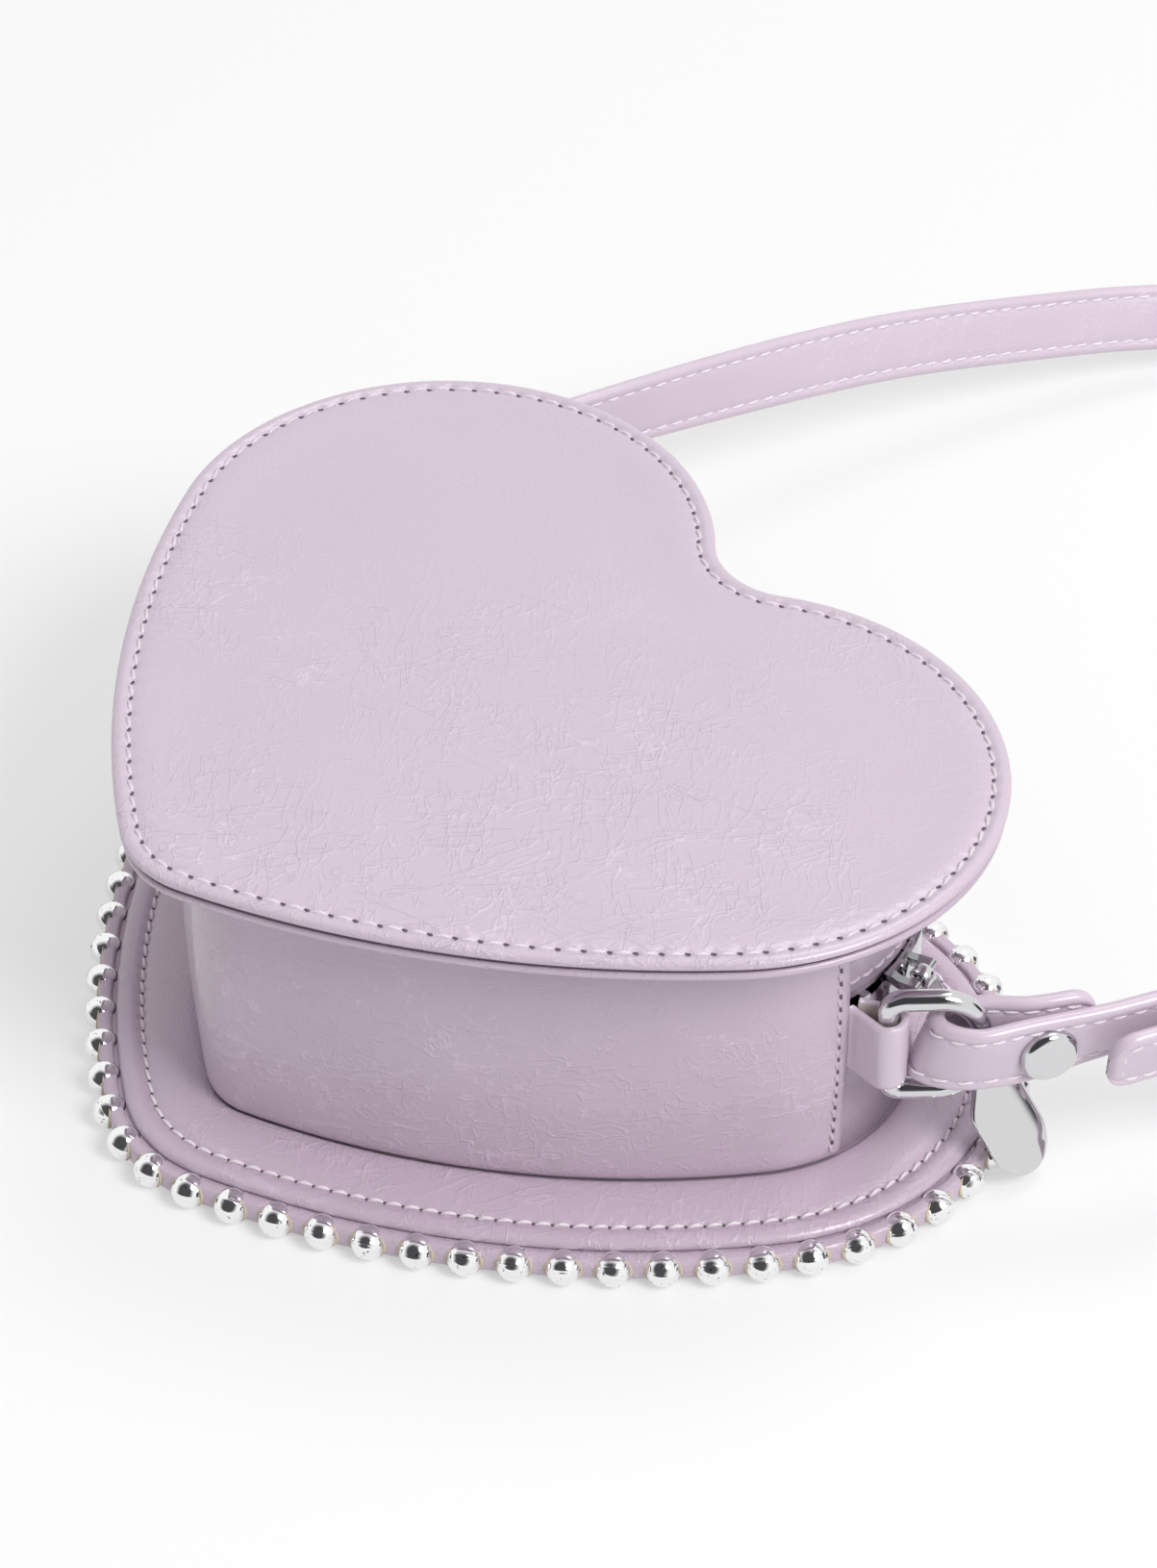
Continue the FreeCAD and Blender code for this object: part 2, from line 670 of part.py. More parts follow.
def strap_along(name, points):
    """Flat strap standing on its edge along a route."""
    path = strap_path(name, points)
    way = points[1] - points[0]
    side = V(way.y, -way.x, 0).normalize() * (strap_thickness / 2)
    half = UP * (strap_width / 2)
    start = points[0]
    corners = [start - side - half, start + side - half, start + side + half, start - side + half]
    sweep = Part.BRepOffsetAPI.MakePipeShell(path)
    sweep.setBiNormalMode(UP)
    sweep.add(Part.makePolygon(corners + corners[:1]))
    sweep.build()
    sweep.makeSolid()
    strap = sweep.shape()
    section = strap_width * strap_thickness
    print(name, "length", round(path.Length, 1), "volume over section times length",
          round(strap.Volume / section / path.Length, 4))
    return strap


def round_tip(strap, tip, way):
    """Round the two corners of a strap's free end."""
    half = strap_width / 2
    side = V(way.y, -way.x, 0).normalize()
    corner_cuts = []
    for up in (-1, 1):
        corner = tip + UP * (up * half)
        block_low = corner - way * tip_rounding - UP * (up * tip_rounding)
        points = [block_low, corner - way * tip_rounding + UP * up, corner + way + UP * up,
                  corner + way - UP * (up * tip_rounding)]
        square = Part.Face(Part.makePolygon(points + points[:1])).extrude(side * (4 * strap_thickness))
        square.translate(side * (-2 * strap_thickness))
        round_bar = disc(block_low, side, tip_rounding, -3 * strap_thickness, 3 * strap_thickness)
        corner_cuts.append(square.cut(round_bar))
    return strap.cut(corner_cuts)


def rivet_hole(place, axis):
    """Hole for the rivet's post through both layers of the strap."""
    return disc(place, axis, rivet_post_radius + rivet_gap, -3 * strap_thickness, 3 * strap_thickness)


def rivet(place, axis):
    """Strap rivet: cap, post and back cap in one piece."""
    face = strap_thickness / 2 + rivet_gap
    back_face = -layer_step - face
    cap = disc(place, axis, rivet_cap_radius, face, face + rivet_cap_height)
    rim = cap.Edges
    outer = [edge for edge in rim if abs((edge.BoundBox.Center - place).dot(axis) - face - rivet_cap_height) < 1e-3]
    cap = cap.makeFillet(rivet_cap_height * 0.8, outer)
    post = disc(place, axis, rivet_post_radius, back_face - 0.2, face + 0.2)
    washer = disc(place, axis, rivet_back_radius, back_face - rivet_back_height, back_face)
    return cap.fuse([post, washer]).removeSplitter()


left_place = on_left(rivet_place)
left_axis = on_left(rivet_place + rivet_axis) - left_place

# Buckle: a frame on the strap's hem, and a prong that turns on the frame's bar
frame_half = buckle_inner_width / 2 + bar_half
frame_corners = [
    V(0, 0, -frame_half), V(buckle_reach, -buckle_rise, -frame_half),
    V(buckle_reach, -buckle_rise, frame_half), V(0, 0, frame_half),
]
frame = tube_along(rounded_loop(frame_corners, [buckle_corner] * 4), bar_half)
frame.Placement = at_buckle
nodes["buckle_frame"] = frame

prong_way = V(buckle_reach, -buckle_rise, 0).normalize()
prong_base = V(prong_way.y, -prong_way.x, 0) * (bar_half + prong_radius + prong_rest_gap)
prong_length = math.hypot(buckle_reach, buckle_rise) + prong_past_bar
prong_tip = prong_base + prong_way * prong_length


def prong_rod(radius, lift):
    """The prong's rod at a radius, lifted by an angle about the bar."""
    rod = disc(prong_base, prong_way, radius, 0.0, prong_length)
    rod.rotate(V(0, 0, 0), UP, -lift)
    return rod


eye_outside = bar_half + prong_eye_gap + prong_eye_wall
prong_eye = disc(V(0, 0, 0), UP, eye_outside, -prong_eye_length / 2, prong_eye_length / 2)
prong_bore = disc(V(0, 0, 0), UP, bar_half + prong_eye_gap, -prong_eye_length, prong_eye_length)
tip_ball = Part.makeSphere(prong_radius, prong_tip)
prong = prong_eye.fuse([prong_rod(prong_radius, 0.0), tip_ball]).cut(prong_bore).removeSplitter()
prong.Placement = at_buckle
nodes["buckle_prong"] = prong

# Straps, with the hem round the buckle's bar, the slot for the prong and the rivets' holes
slot_radius = prong_radius + prong_slot_gap
prong_slot = prong_rod(slot_radius, 0.0)
for share in (0.25, 0.5, 0.75, 1.0):
    prong_slot = prong_slot.fuse(prong_rod(slot_radius, prong_lift * share))
prong_slot.Placement = at_buckle
hem = disc(V(0, 0, 0), UP, hem_outside, -strap_width / 2, strap_width / 2)
hem_bore = disc(V(0, 0, 0), UP, hem_inside, -strap_width, strap_width)
notch_start = V(-eye_outside - strap_gap, -2 * hem_outside, -hem_slot / 2)
hem_notch = Part.makeBox(4 * hem_outside, 4 * hem_outside, hem_slot, notch_start)
for shape in (hem, hem_bore, hem_notch):
    shape.Placement = at_buckle
short_strap = strap_along("short strap", short_route)
tip_way = (ring_loop[0] - ring_loop[1]).normalize()
short_strap = round_tip(short_strap, ring_loop[0], tip_way)
short_strap = short_strap.fuse(hem).cut(hem_bore).cut(hem_notch).cut(rivet_hole(rivet_place, rivet_axis))
nodes["short_strap"] = short_strap.removeSplitter()
long_strap = strap_along("long strap", long_route)
left_tip_way = (long_route[0] - long_route[1]).normalize()
long_strap = round_tip(long_strap, long_route[0], left_tip_way)
nodes["long_strap"] = long_strap.cut(rivet_hole(left_place, left_axis))
strap_tail = strap_along("strap tail", tail_route)
tail_way = (tail_route[-1] - tail_route[-2]).normalize()
nodes["strap_tail"] = round_tip(strap_tail, tail_route[-1], tail_way).cut(prong_slot)
nodes["strap_rivet_right"] = rivet(rivet_place, rivet_axis)
nodes["strap_rivet_left"] = rivet(left_place, left_axis)

# Keeper: a leather band round the short strap and the tail that lies on it
band_inner = strap_thickness / 2 + keeper_gap
band_outer = layer_step + strap_thickness / 2 + keeper_gap
band_half = strap_width / 2 + keeper_gap
hole = Part.makeBox(2 * keeper_length, band_inner + band_outer, 2 * band_half,
                    V(-keeper_length, -band_outer, -band_half))
band = Part.makeBox(keeper_length, band_inner + band_outer + 2 * keeper_wall, 2 * (band_half + keeper_wall),
                    V(-keeper_length / 2, -band_outer - keeper_wall, -band_half - keeper_wall))
keeper = band.cut(hole)
keeper.translate(V(-keeper_place, 0, 0))
keeper.Placement = at_buckle.multiply(keeper.Placement)
nodes["strap_keeper"] = keeper

os.makedirs("parts", exist_ok=True)
for name, shape in nodes.items():
    shape.exportStep("parts/" + name + ".step")
print("nodes", len(nodes))
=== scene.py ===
# %% [markdown]
# # A heart shaped purse
#
# The purse lies on its studded front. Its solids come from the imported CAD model, which is loaded first as a
# fixed frame. Everything soft, such as leather, thread and lining, is then made again as a mesh that sits
# where the solid is, because a plain solid has no rolled edges, stitches or creases.

import json
import math

import bpy
import numpy as np
from mathutils import Matrix, Vector

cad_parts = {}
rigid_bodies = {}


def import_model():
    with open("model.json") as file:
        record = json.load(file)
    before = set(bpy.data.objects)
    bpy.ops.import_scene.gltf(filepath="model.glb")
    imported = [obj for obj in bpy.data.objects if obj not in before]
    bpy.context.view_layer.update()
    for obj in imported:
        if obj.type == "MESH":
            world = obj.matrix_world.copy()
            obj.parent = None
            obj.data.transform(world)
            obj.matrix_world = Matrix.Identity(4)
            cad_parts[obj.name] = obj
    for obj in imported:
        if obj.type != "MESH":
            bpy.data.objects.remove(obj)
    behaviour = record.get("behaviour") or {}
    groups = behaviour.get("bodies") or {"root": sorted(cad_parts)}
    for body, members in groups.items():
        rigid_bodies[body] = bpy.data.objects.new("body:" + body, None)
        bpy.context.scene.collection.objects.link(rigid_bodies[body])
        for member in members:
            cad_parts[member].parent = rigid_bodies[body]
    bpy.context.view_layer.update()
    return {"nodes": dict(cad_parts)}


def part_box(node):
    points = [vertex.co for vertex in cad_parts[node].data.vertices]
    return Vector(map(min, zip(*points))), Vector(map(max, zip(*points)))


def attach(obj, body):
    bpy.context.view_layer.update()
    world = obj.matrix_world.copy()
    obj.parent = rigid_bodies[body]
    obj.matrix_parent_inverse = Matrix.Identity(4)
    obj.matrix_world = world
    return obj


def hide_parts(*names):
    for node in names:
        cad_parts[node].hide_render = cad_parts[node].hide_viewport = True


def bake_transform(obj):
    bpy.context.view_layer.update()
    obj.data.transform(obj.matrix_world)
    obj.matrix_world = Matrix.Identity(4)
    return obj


for old in list(bpy.data.objects):
    bpy.data.objects.remove(old)

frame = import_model()
nodes = frame["nodes"]
MM = 0.001

# %% [markdown]
# ## Camera
#
# The view is set by the place where the camera stands and the point that it looks at, both in millimetres of
# the purse's own frame. It could also be turned by hand until the outlines agree, but two points are easier to
# keep. A long lens keeps the heart's sides almost parallel, as product photographs do.

# %% Camera
camera_place = Vector((494.5, -356.7, 568.3)) * MM
camera_target = Vector((27.1, 1.4, 65.3)) * MM
camera_data = bpy.data.cameras.new("camera")
camera_data.lens = 111.1
camera_data.sensor_width = 36.0
camera_data.clip_start = 0.01
camera = bpy.data.objects.new("camera", camera_data)
camera.location = camera_place
camera.rotation_euler = (camera_target - camera_place).to_track_quat("-Z", "Y").to_euler()
bpy.context.scene.collection.objects.link(camera)
bpy.context.scene.camera = camera
print("camera", round((camera_target - camera_place).length, 3), "m away")

# %% [markdown]
# ## Node helpers
#
# A finish in Blender is a small graph of nodes. Each node takes several lines to add, fill and link, so a few
# helpers do that here. Node groups made by hand would serve as well, but helpers can be read in the script.


# %% Add and fill nodes
def node_material(name):
    """A new material, its node tree and its principled shader."""
    material = bpy.data.materials.new(name)
    material.use_nodes = True
    tree = material.node_tree
    return material, tree, tree.nodes["Principled BSDF"]


def add(tree, kind, **values):
    """Add a node and set its inputs, or else its settings, by name."""
    node = tree.nodes.new(kind)
    for key, value in values.items():
        key = key.replace("_", " ")
        if key in node.inputs:
            node.inputs[key].default_value = value
        else:
            setattr(node, key.replace(" ", "_"), value)
    return node


def fill(tree, node, values):
    """Give a node its inputs in order, each a socket to link or a fixed value."""
    for socket, value in zip(node.inputs, values):
        if isinstance(value, bpy.types.NodeSocket):
            tree.links.new(value, socket)
        else:
            socket.default_value = value
    return node


def math_of(tree, operation, *values):
    """Result of a math node over sockets and fixed numbers."""
    return fill(tree, add(tree, "ShaderNodeMath", operation=operation), values).outputs[0]


def vector_of(tree, operation, *values):
    """Vector math node over sockets and fixed vectors."""
    return fill(tree, add(tree, "ShaderNodeVectorMath", operation=operation), values)


print("helpers that add and fill nodes")

# %% [markdown]
# Three patterns come back in every finish: a value squeezed into another range, a colour that goes from one tone
# to another, and a mix of two shaders.


# %% Ranges, tones and mixes
def ramp_between(tree, value, low, high, to_low=0.0, to_high=1.0):
    """Map a value from one range to another, clamped."""
    node = add(tree, "ShaderNodeMapRange", interpolation_type="SMOOTHSTEP", From_Min=low, From_Max=high,
               To_Min=to_low, To_Max=to_high)
    tree.links.new(value, node.inputs["Value"])
    return node.outputs["Result"]


def two_tones(tree, share, first, second, start=0.0, end=1.0):
    """Colour that goes from one tone to another while a share goes from start to end."""
    tone = add(tree, "ShaderNodeValToRGB")
    for element, position, colour in zip(tone.color_ramp.elements, (start, end), (first, second)):
        element.position = position
        element.color = (*colour, 1)
    tree.links.new(share, tone.inputs["Fac"])
    return tone.outputs["Color"]


def mixed(tree, share, first, second):
    """Mix of two shaders by a share."""
    return fill(tree, add(tree, "ShaderNodeMixShader"), (share, first, second)).outputs[0]


print("helpers for ranges, tones and mixes")

# %% [markdown]
# ## Floor
#
# In a studio the purse lies on white paper that runs on behind it without an edge. A curved sheet would show
# the same, but seen from above a flat card is enough. Rays that see it, from the camera or from polished metal,
# meet paper that glows more and more away from the purse, so it ends in an even white and still keeps the shadow.
# All other rays meet a plain pale card, so the floor throws no more light on the purse than a card does.

# %% Floor
floor_size = 3.0
floor_mesh = bpy.data.meshes.new("floor")
corners = [(-floor_size, -floor_size, 0), (floor_size, -floor_size, 0), (floor_size, floor_size, 0),
           (-floor_size, floor_size, 0)]
floor_mesh.from_pydata(corners, [], [(0, 1, 2, 3)])
floor = bpy.data.objects.new("floor", floor_mesh)
bpy.context.scene.collection.objects.link(floor)
floor_paint, tree, shader = node_material("floor_card")
shader.inputs["Base Color"].default_value = (0.74, 0.74, 0.745, 1)
shader.inputs["Roughness"].default_value = 0.9
shader.inputs["Specular IOR Level"].default_value = 0.1


def seen_ray(tree):
    """1 for rays that see the backdrop: from the camera, a mirror or glass."""
    path = add(tree, "ShaderNodeLightPath").outputs
    seen = math_of(tree, "MAXIMUM", path["Is Camera Ray"], path["Is Glossy Ray"])
    return math_of(tree, "MAXIMUM", seen, path["Is Transmission Ray"])


white = add(tree, "ShaderNodeBsdfDiffuse", Color=(0.88, 0.88, 0.88, 1))
glow = add(tree, "ShaderNodeEmission", Color=(0.985, 0.985, 0.985, 1), Strength=1.0)
purse_middle = (0.03, 0.12, 0.0)
place = add(tree, "ShaderNodeTexCoord").outputs["Object"]
apart = vector_of(tree, "DISTANCE", place, purse_middle).outputs["Value"]
backdrop = mixed(tree, ramp_between(tree, apart, 0.35, 1.1, 0.45, 1.0), white.outputs[0], glow.outputs[0])
surface = mixed(tree, seen_ray(tree), shader.outputs[0], backdrop)
tree.links.new(surface, tree.nodes["Material Output"].inputs["Surface"])
floor_mesh.materials.append(floor_paint)
print("floor", 2 * floor_size, "m wide")

# %% [markdown]
# ## World
#
# The room gives soft light from all round, a little less from below. Polished metal needs something dark to
# mirror, or it looks like white paint: mirror rays see a dark patch behind the camera and a narrow dark board at
# one side, as a photographer would set up. Both could be real planes in the scene, but then they would also
# shade the purse. The camera sees plain paper.

# %% World
world = bpy.data.worlds.new("studio")
bpy.context.scene.world = world
world.use_nodes = True
tree = world.node_tree
room = tree.nodes["Background"]
room.inputs["Strength"].default_value = 0.66
direction = add(tree, "ShaderNodeTexCoord").outputs["Generated"]
height = fill(tree, add(tree, "ShaderNodeSeparateXYZ"), [direction]).outputs["Z"]
tree.links.new(two_tones(tree, height, (0.60, 0.60, 0.60), (1, 1, 1)), room.inputs["Color"])
patch_way = (0.37, -0.70, 0.61)
board_way = (0.472, 0.874, 0.12)
patch = vector_of(tree, "DOT_PRODUCT", direction, patch_way).outputs["Value"]
board = vector_of(tree, "DOT_PRODUCT", direction, board_way).outputs["Value"]
narrow_board = math_of(tree, "MULTIPLY_ADD", board, 10.0, -9.05)
dark_share = math_of(tree, "MAXIMUM", patch, narrow_board)
walls = two_tones(tree, dark_share, (1, 1, 1), (0.07, 0.07, 0.075), 0.50, 0.80)
shine = add(tree, "ShaderNodeBackground", Strength=1.0)
tree.links.new(walls, shine.inputs["Color"])
paper = add(tree, "ShaderNodeBackground", Color=(0.965, 0.965, 0.965, 1), Strength=1.0)
path = add(tree, "ShaderNodeLightPath").outputs
mirror = mixed(tree, path["Is Glossy Ray"], room.outputs[0], shine.outputs[0])
seen = mixed(tree, path["Is Camera Ray"], mirror, paper.outputs[0])
tree.links.new(seen, tree.nodes["World Output"].inputs["Surface"])
print("world nodes", len(tree.nodes))

# %% [markdown]
# ## Lamps
#
# One large lamp from the right draws the broad sheen on the leather, and a weaker one from behind lifts the far
# rim. Large discs give soft shadows. With the room they light a white card to about white, so that every colour
# below renders about as it is written.


# %% Lamps
def soft_lamp(name, place, target, size, power):
    """A large round lamp that points at a target."""
    data = bpy.data.lights.new(name, "AREA")
    data.shape = "DISK"
    data.size = size
    data.energy = power
    lamp = bpy.data.objects.new(name, data)
    lamp.location = place
    lamp.rotation_euler = (Vector(target) - Vector(place)).to_track_quat("-Z", "Y").to_euler()
    bpy.context.scene.collection.objects.link(lamp)
    return lamp


lamp_target = (0, 0, 0.03)
soft_lamp("lamp_right", (1.45, 0.25, 1.58), lamp_target, 1.0, 29)
soft_lamp("lamp_top", (-0.30, 0.90, 1.90), lamp_target, 0.9, 6.5)
bpy.context.scene.view_settings.view_transform = "Standard"
print("lamps", len(bpy.data.lights))

# %% [markdown]
# ## Finishes
#
# The leather is a thin glossy skin over a soft base: fine grain everywhere, and patches of long thin creases
# that cross each other. Painted creases would need a picture, and real folds would need millions of faces, so
# noise patterns raise the surface with bump. Patterns are read in the piece's own metres, so their scale is
# true.


# %% Patterns and bump
def own_place(tree):
    """Place on a piece, in its own metres."""
    return add(tree, "ShaderNodeTexCoord").outputs["Object"]


def noise(tree, place, scale, detail, **more):
    """Noise pattern at a place."""
    node = add(tree, "ShaderNodeTexNoise", Scale=scale, Detail=detail, **more)
    tree.links.new(place, node.inputs["Vector"])
    return node.outputs["Fac"]


def bump_from(tree, height, strength, distance, normal=None):
    """Normal that is bent by a height."""
    bump = add(tree, "ShaderNodeBump", Strength=strength, Distance=distance)
    tree.links.new(height, bump.inputs["Height"])
    if normal is not None:
        tree.links.new(normal, bump.inputs["Normal"])
    return bump.outputs["Normal"]


print("helpers for patterns and bump")

# %% [markdown]
# Each set of creases is the level line of a noise that is stretched one way: where the noise passes its middle
# value, a thin line appears. A second noise breaks the lines up, because a crease fades in and out. Wave patterns
# would be too even. Six sets cross each other at different angles and sizes.


# %% Creases
def crease_lines(tree, place, along, scale, width, seed):
    """Long thin creases that run mostly one way: level lines of a stretched noise, faded by a second noise."""
    stretch = 0.87
    run = vector_of(tree, "DOT_PRODUCT", place, along).outputs["Value"]
    back = vector_of(tree, "SCALE", [c * -stretch for c in along])
    tree.links.new(run, back.inputs["Scale"])
    short = vector_of(tree, "ADD", place, back.outputs[0]).outputs[0]
    shifted = vector_of(tree, "ADD", short, (seed, seed * 0.7, seed * 1.3)).outputs[0]
    field = noise(tree, shifted, scale, 1.0, Distortion=0.12)
    near = math_of(tree, "ABSOLUTE", math_of(tree, "SUBTRACT", field, 0.5))
    lines = ramp_between(tree, near, 0.0, width, 1.0, 0.0)
    breaks = noise(tree, shifted, scale * 0.45, 2.0)
    return math_of(tree, "MULTIPLY", lines, ramp_between(tree, breaks, 0.46, 0.60))


creases = [((0.94, 0.33, 0.1), 280.0, 0.034, 0.3), ((0.26, 0.95, 0.17), 340.0, 0.038, 1.1),
           ((-0.62, 0.74, 0.26), 310.0, 0.034, 2.7), ((0.3, -0.3, 0.905), 330.0, 0.036, 4.2),
           ((0.75, -0.6, 0.28), 620.0, 0.055, 5.9), ((0.5, 0.84, 0.2), 680.0, 0.055, 7.3)]
print("sets of creases", len(creases))

# %% [markdown]
# The leather joins slow swells, creases and grain in one normal. The creases are also painted a little paler, a
# painted highlight for the glints on their ridges, and a clear coat over a rougher base gives the double sheen of
# lacquered leather. The panel creases most towards its front edge, and the stiff strap hardly at all.


# %% Leather
def crinkled_leather(name, light, dark, crinkle, spread=0.44, toward=None):
    """Glossy lavender faux leather with grain and patches of crinkles."""
    material, tree, shader = node_material(name)
    place = own_place(tree)
    worn = noise(tree, place, 16.0, 2.0)
    if toward is not None:
        slope = vector_of(tree, "DOT_PRODUCT", place, toward).outputs["Value"]
        worn = math_of(tree, "ADD", worn, slope)
    where = ramp_between(tree, worn, spread - 0.12, spread + 0.14, 0.25, 1.0)
    lines = 0.0
    for along, scale, width, seed in creases:
        lines = math_of(tree, "ADD", lines, crease_lines(tree, place, along, scale, width, seed))
    lines = math_of(tree, "MULTIPLY", lines, where)
    grain = noise(tree, place, 1500.0, 2.0)
    swell = noise(tree, place, 45.0, 3.0)
    normal = bump_from(tree, swell, 0.06 * crinkle, 0.0016)
    normal = bump_from(tree, lines, 0.9 * crinkle, 0.0001, normal)
    normal = bump_from(tree, grain, 0.22, 0.00008, normal)
    tree.links.new(normal, shader.inputs["Normal"])
    # Painted highlight: the crease lines lift the tone, up to a paler top stop.
    swell_and_crease_glint = math_of(tree, "ADD", swell, math_of(tree, "MULTIPLY", lines, 0.22))
    tone = two_tones(tree, swell_and_crease_glint, dark, light, 0.30, 0.72)
    crease_glint_stop = tone.node.color_ramp.elements.new(1.0)
    crease_glint_stop.color = (*[min(c * 1.16, 1.0) for c in light], 1)
    tree.links.new(tone, shader.inputs["Base Color"])
    tree.links.new(ramp_between(tree, grain, 0.3, 0.7, 0.30, 0.40), shader.inputs["Roughness"])
    shader.inputs["Coat Weight"].default_value = 0.55
    shader.inputs["Coat Roughness"].default_value = 0.15
    shader.inputs["Specular IOR Level"].default_value = 0.5
    return material


print("leather is ready to be mixed")

# %% [markdown]
# Four leathers come from that one recipe: the panel is the most creased, the wall and ledge are a little darker, and
# the strap is the smoothest. The strap is also painted paler than the same leather on the bag, painted light for the
# brighter light that falls on it.

# %% Leathers of the purse
leather_panel = crinkled_leather("leather_panel", (0.58, 0.48, 0.57), (0.57, 0.47, 0.56), 0.8,
                                 toward=(1.8, -2.4, 0))
leather_gusset = crinkled_leather("leather_gusset", (0.55, 0.445, 0.54), (0.535, 0.43, 0.525), 0.6, spread=0.42)
leather_flange = crinkled_leather("leather_flange", (0.55, 0.445, 0.54), (0.535, 0.43, 0.525), 0.7, spread=0.50)
# The strap's paler colour is painted light.
leather_strap = crinkled_leather("leather_strap", (0.63, 0.525, 0.62), (0.61, 0.505, 0.60), 0.35, spread=0.55)
print("leathers", [m.name for m in bpy.data.materials if m.name.startswith("leather")])

# %% [markdown]
# The thread is glossy and twisted from plies, and cut edges of leather show the fibres of its backing. Both are
# only tenths of a millimetre across, but a single flat colour looks like plastic at any distance, so each has its
# own fine pattern.


# %% Thread and cut edges
def twisted_thread(name, colour):
    """Soft thread with a fine twist."""
    material, tree, shader = node_material(name)
    wave = add(tree, "ShaderNodeTexWave", Scale=900.0, Distortion=3.0)
    tree.links.new(own_place(tree), wave.inputs["Vector"])
    twist = wave.outputs["Fac"]
    tree.links.new(bump_from(tree, twist, 0.4, 0.0001), shader.inputs["Normal"])
    tone = two_tones(tree, twist, [c * 0.86 for c in colour], colour)
    tree.links.new(tone, shader.inputs["Base Color"])
    shader.inputs["Roughness"].default_value = 0.32
    shader.inputs["Sheen Weight"].default_value = 0.2
    return material


def raw_edge(name, colour):
    """Cut fibrous edge of the leather's backing."""
    material, tree, shader = node_material(name)
    fibre = noise(tree, own_place(tree), 2200.0, 4.0)
    tone = two_tones(tree, fibre, [c * 0.7 for c in colour], colour)
    tree.links.new(tone, shader.inputs["Base Color"])
    tree.links.new(bump_from(tree, fibre, 0.5, 0.0002), shader.inputs["Normal"])
    shader.inputs["Roughness"].default_value = 0.85
    return material


thread_pale = twisted_thread("thread_pale", (0.62, 0.52, 0.61))
# Painted highlight: the panel's thread is painted paler than the leather for the glints on its gloss.
thread_panel_glint = twisted_thread("thread_panel_glint", (0.76, 0.66, 0.74))
thread_bright = twisted_thread("thread_bright", (0.86, 0.78, 0.84))
thread_strap = twisted_thread("thread_strap", (0.88, 0.80, 0.86))
edge_cream = raw_edge("edge_cream", (0.72, 0.62, 0.46))
tab_inside = raw_edge("tab_inside", (0.68, 0.61, 0.55))
# Painted shade: the dark inside of needle holes, and of the groove between the back layers.
hole_shade = raw_edge("hole_shade", (0.15, 0.10, 0.14))
stiff_board = raw_edge("stiff_board", (0.50, 0.45, 0.40))
foam = raw_edge("foam", (0.75, 0.73, 0.68))
print("threads and edges", len(bpy.data.materials))

# %% [markdown]
# The metal is plated: a mirror with faint waves from polishing and hairline marks that change its gloss. A perfect
# mirror would look drawn. The beads' thin coat is worn through in specks, which show the dark plastic below.


# %% Plated metal
def polished(name, colour, roughness, waviness):
    """Plated metal, with faint waves from polishing and hairline marks."""
    material, tree, shader = node_material(name)
    place = own_place(tree)
    waves = noise(tree, place, 160.0, 2.0)
    marks = noise(tree, place, 2600.0, 3.0)
    tree.links.new(bump_from(tree, waves, waviness, 0.0006), shader.inputs["Normal"])
    gloss = ramp_between(tree, marks, 0.35, 0.75, roughness * 0.7, roughness * 1.6)
    tree.links.new(gloss, shader.inputs["Roughness"])
    shader.inputs["Base Color"].default_value = (*colour, 1)
    shader.inputs["Metallic"].default_value = 1.0
    return material


def worn_specks(material, coat, below):
    """Let a metal's coat wear through in small specks."""
    tree = material.node_tree
    wear = two_tones(tree, noise(tree, own_place(tree), 1500.0, 2.0), coat, below, 0.66, 0.72)
    tree.links.new(wear, tree.nodes["Principled BSDF"].inputs["Base Color"])


chrome = polished("chrome", (0.66, 0.66, 0.67), 0.05, 0.04)
slider_metal = polished("slider_metal", (0.52, 0.52, 0.53), 0.08, 0.08)
teeth_metal = polished("teeth_metal", (0.66, 0.66, 0.68), 0.18, 0.1)
bead_coat = (0.90, 0.90, 0.905)
bead_silver = polished("bead_silver", bead_coat, 0.10, 0.45)
worn_specks(bead_silver, bead_coat, (0.16, 0.15, 0.15))
print("metals", [m.name for m in (chrome, slider_metal, teeth_metal, bead_silver)])

# %% [markdown]
# Lining and zipper tape are plain weave. Waves along the three axes cross on a surface of any direction, so no
# unwrapping is needed, and they raise it as threads do.


# %% Woven cloth
def woven(name, colour, threads):
    """Plain woven cloth."""
    material, tree, shader = node_material(name)
    place = own_place(tree)
    cloth = 0.0
    for direction in ("X", "Y", "Z"):
        wave = add(tree, "ShaderNodeTexWave", Scale=threads, bands_direction=direction)
        tree.links.new(place, wave.inputs["Vector"])
        cloth = math_of(tree, "ADD", cloth, wave.outputs["Fac"])
    tree.links.new(bump_from(tree, cloth, 0.4, 0.0001), shader.inputs["Normal"])
    tone = two_tones(tree, ramp_between(tree, cloth, 0.0, 3.0), [c * 0.8 for c in colour], colour)
    tree.links.new(tone, shader.inputs["Base Color"])
    shader.inputs["Roughness"].default_value = 0.8
    return material


lining_cloth = woven("lining_cloth", (0.46, 0.38, 0.46), 900.0)
tape_cloth = woven("tape_cloth", (0.47, 0.38, 0.46), 1100.0)
print("finishes", len(bpy.data.materials))

# %% [markdown]
# ## The two hearts
#
# Each heart outline is made of tangent arcs: a tip, two long sides, two lobes and a notch. A Bezier curve could be
# drawn instead, but arcs have exact offsets. A point on the outline is found by its distance from the tip,
# counter-clockwise, and every seam, edge and stitch is then a small offset from that point along the normal.


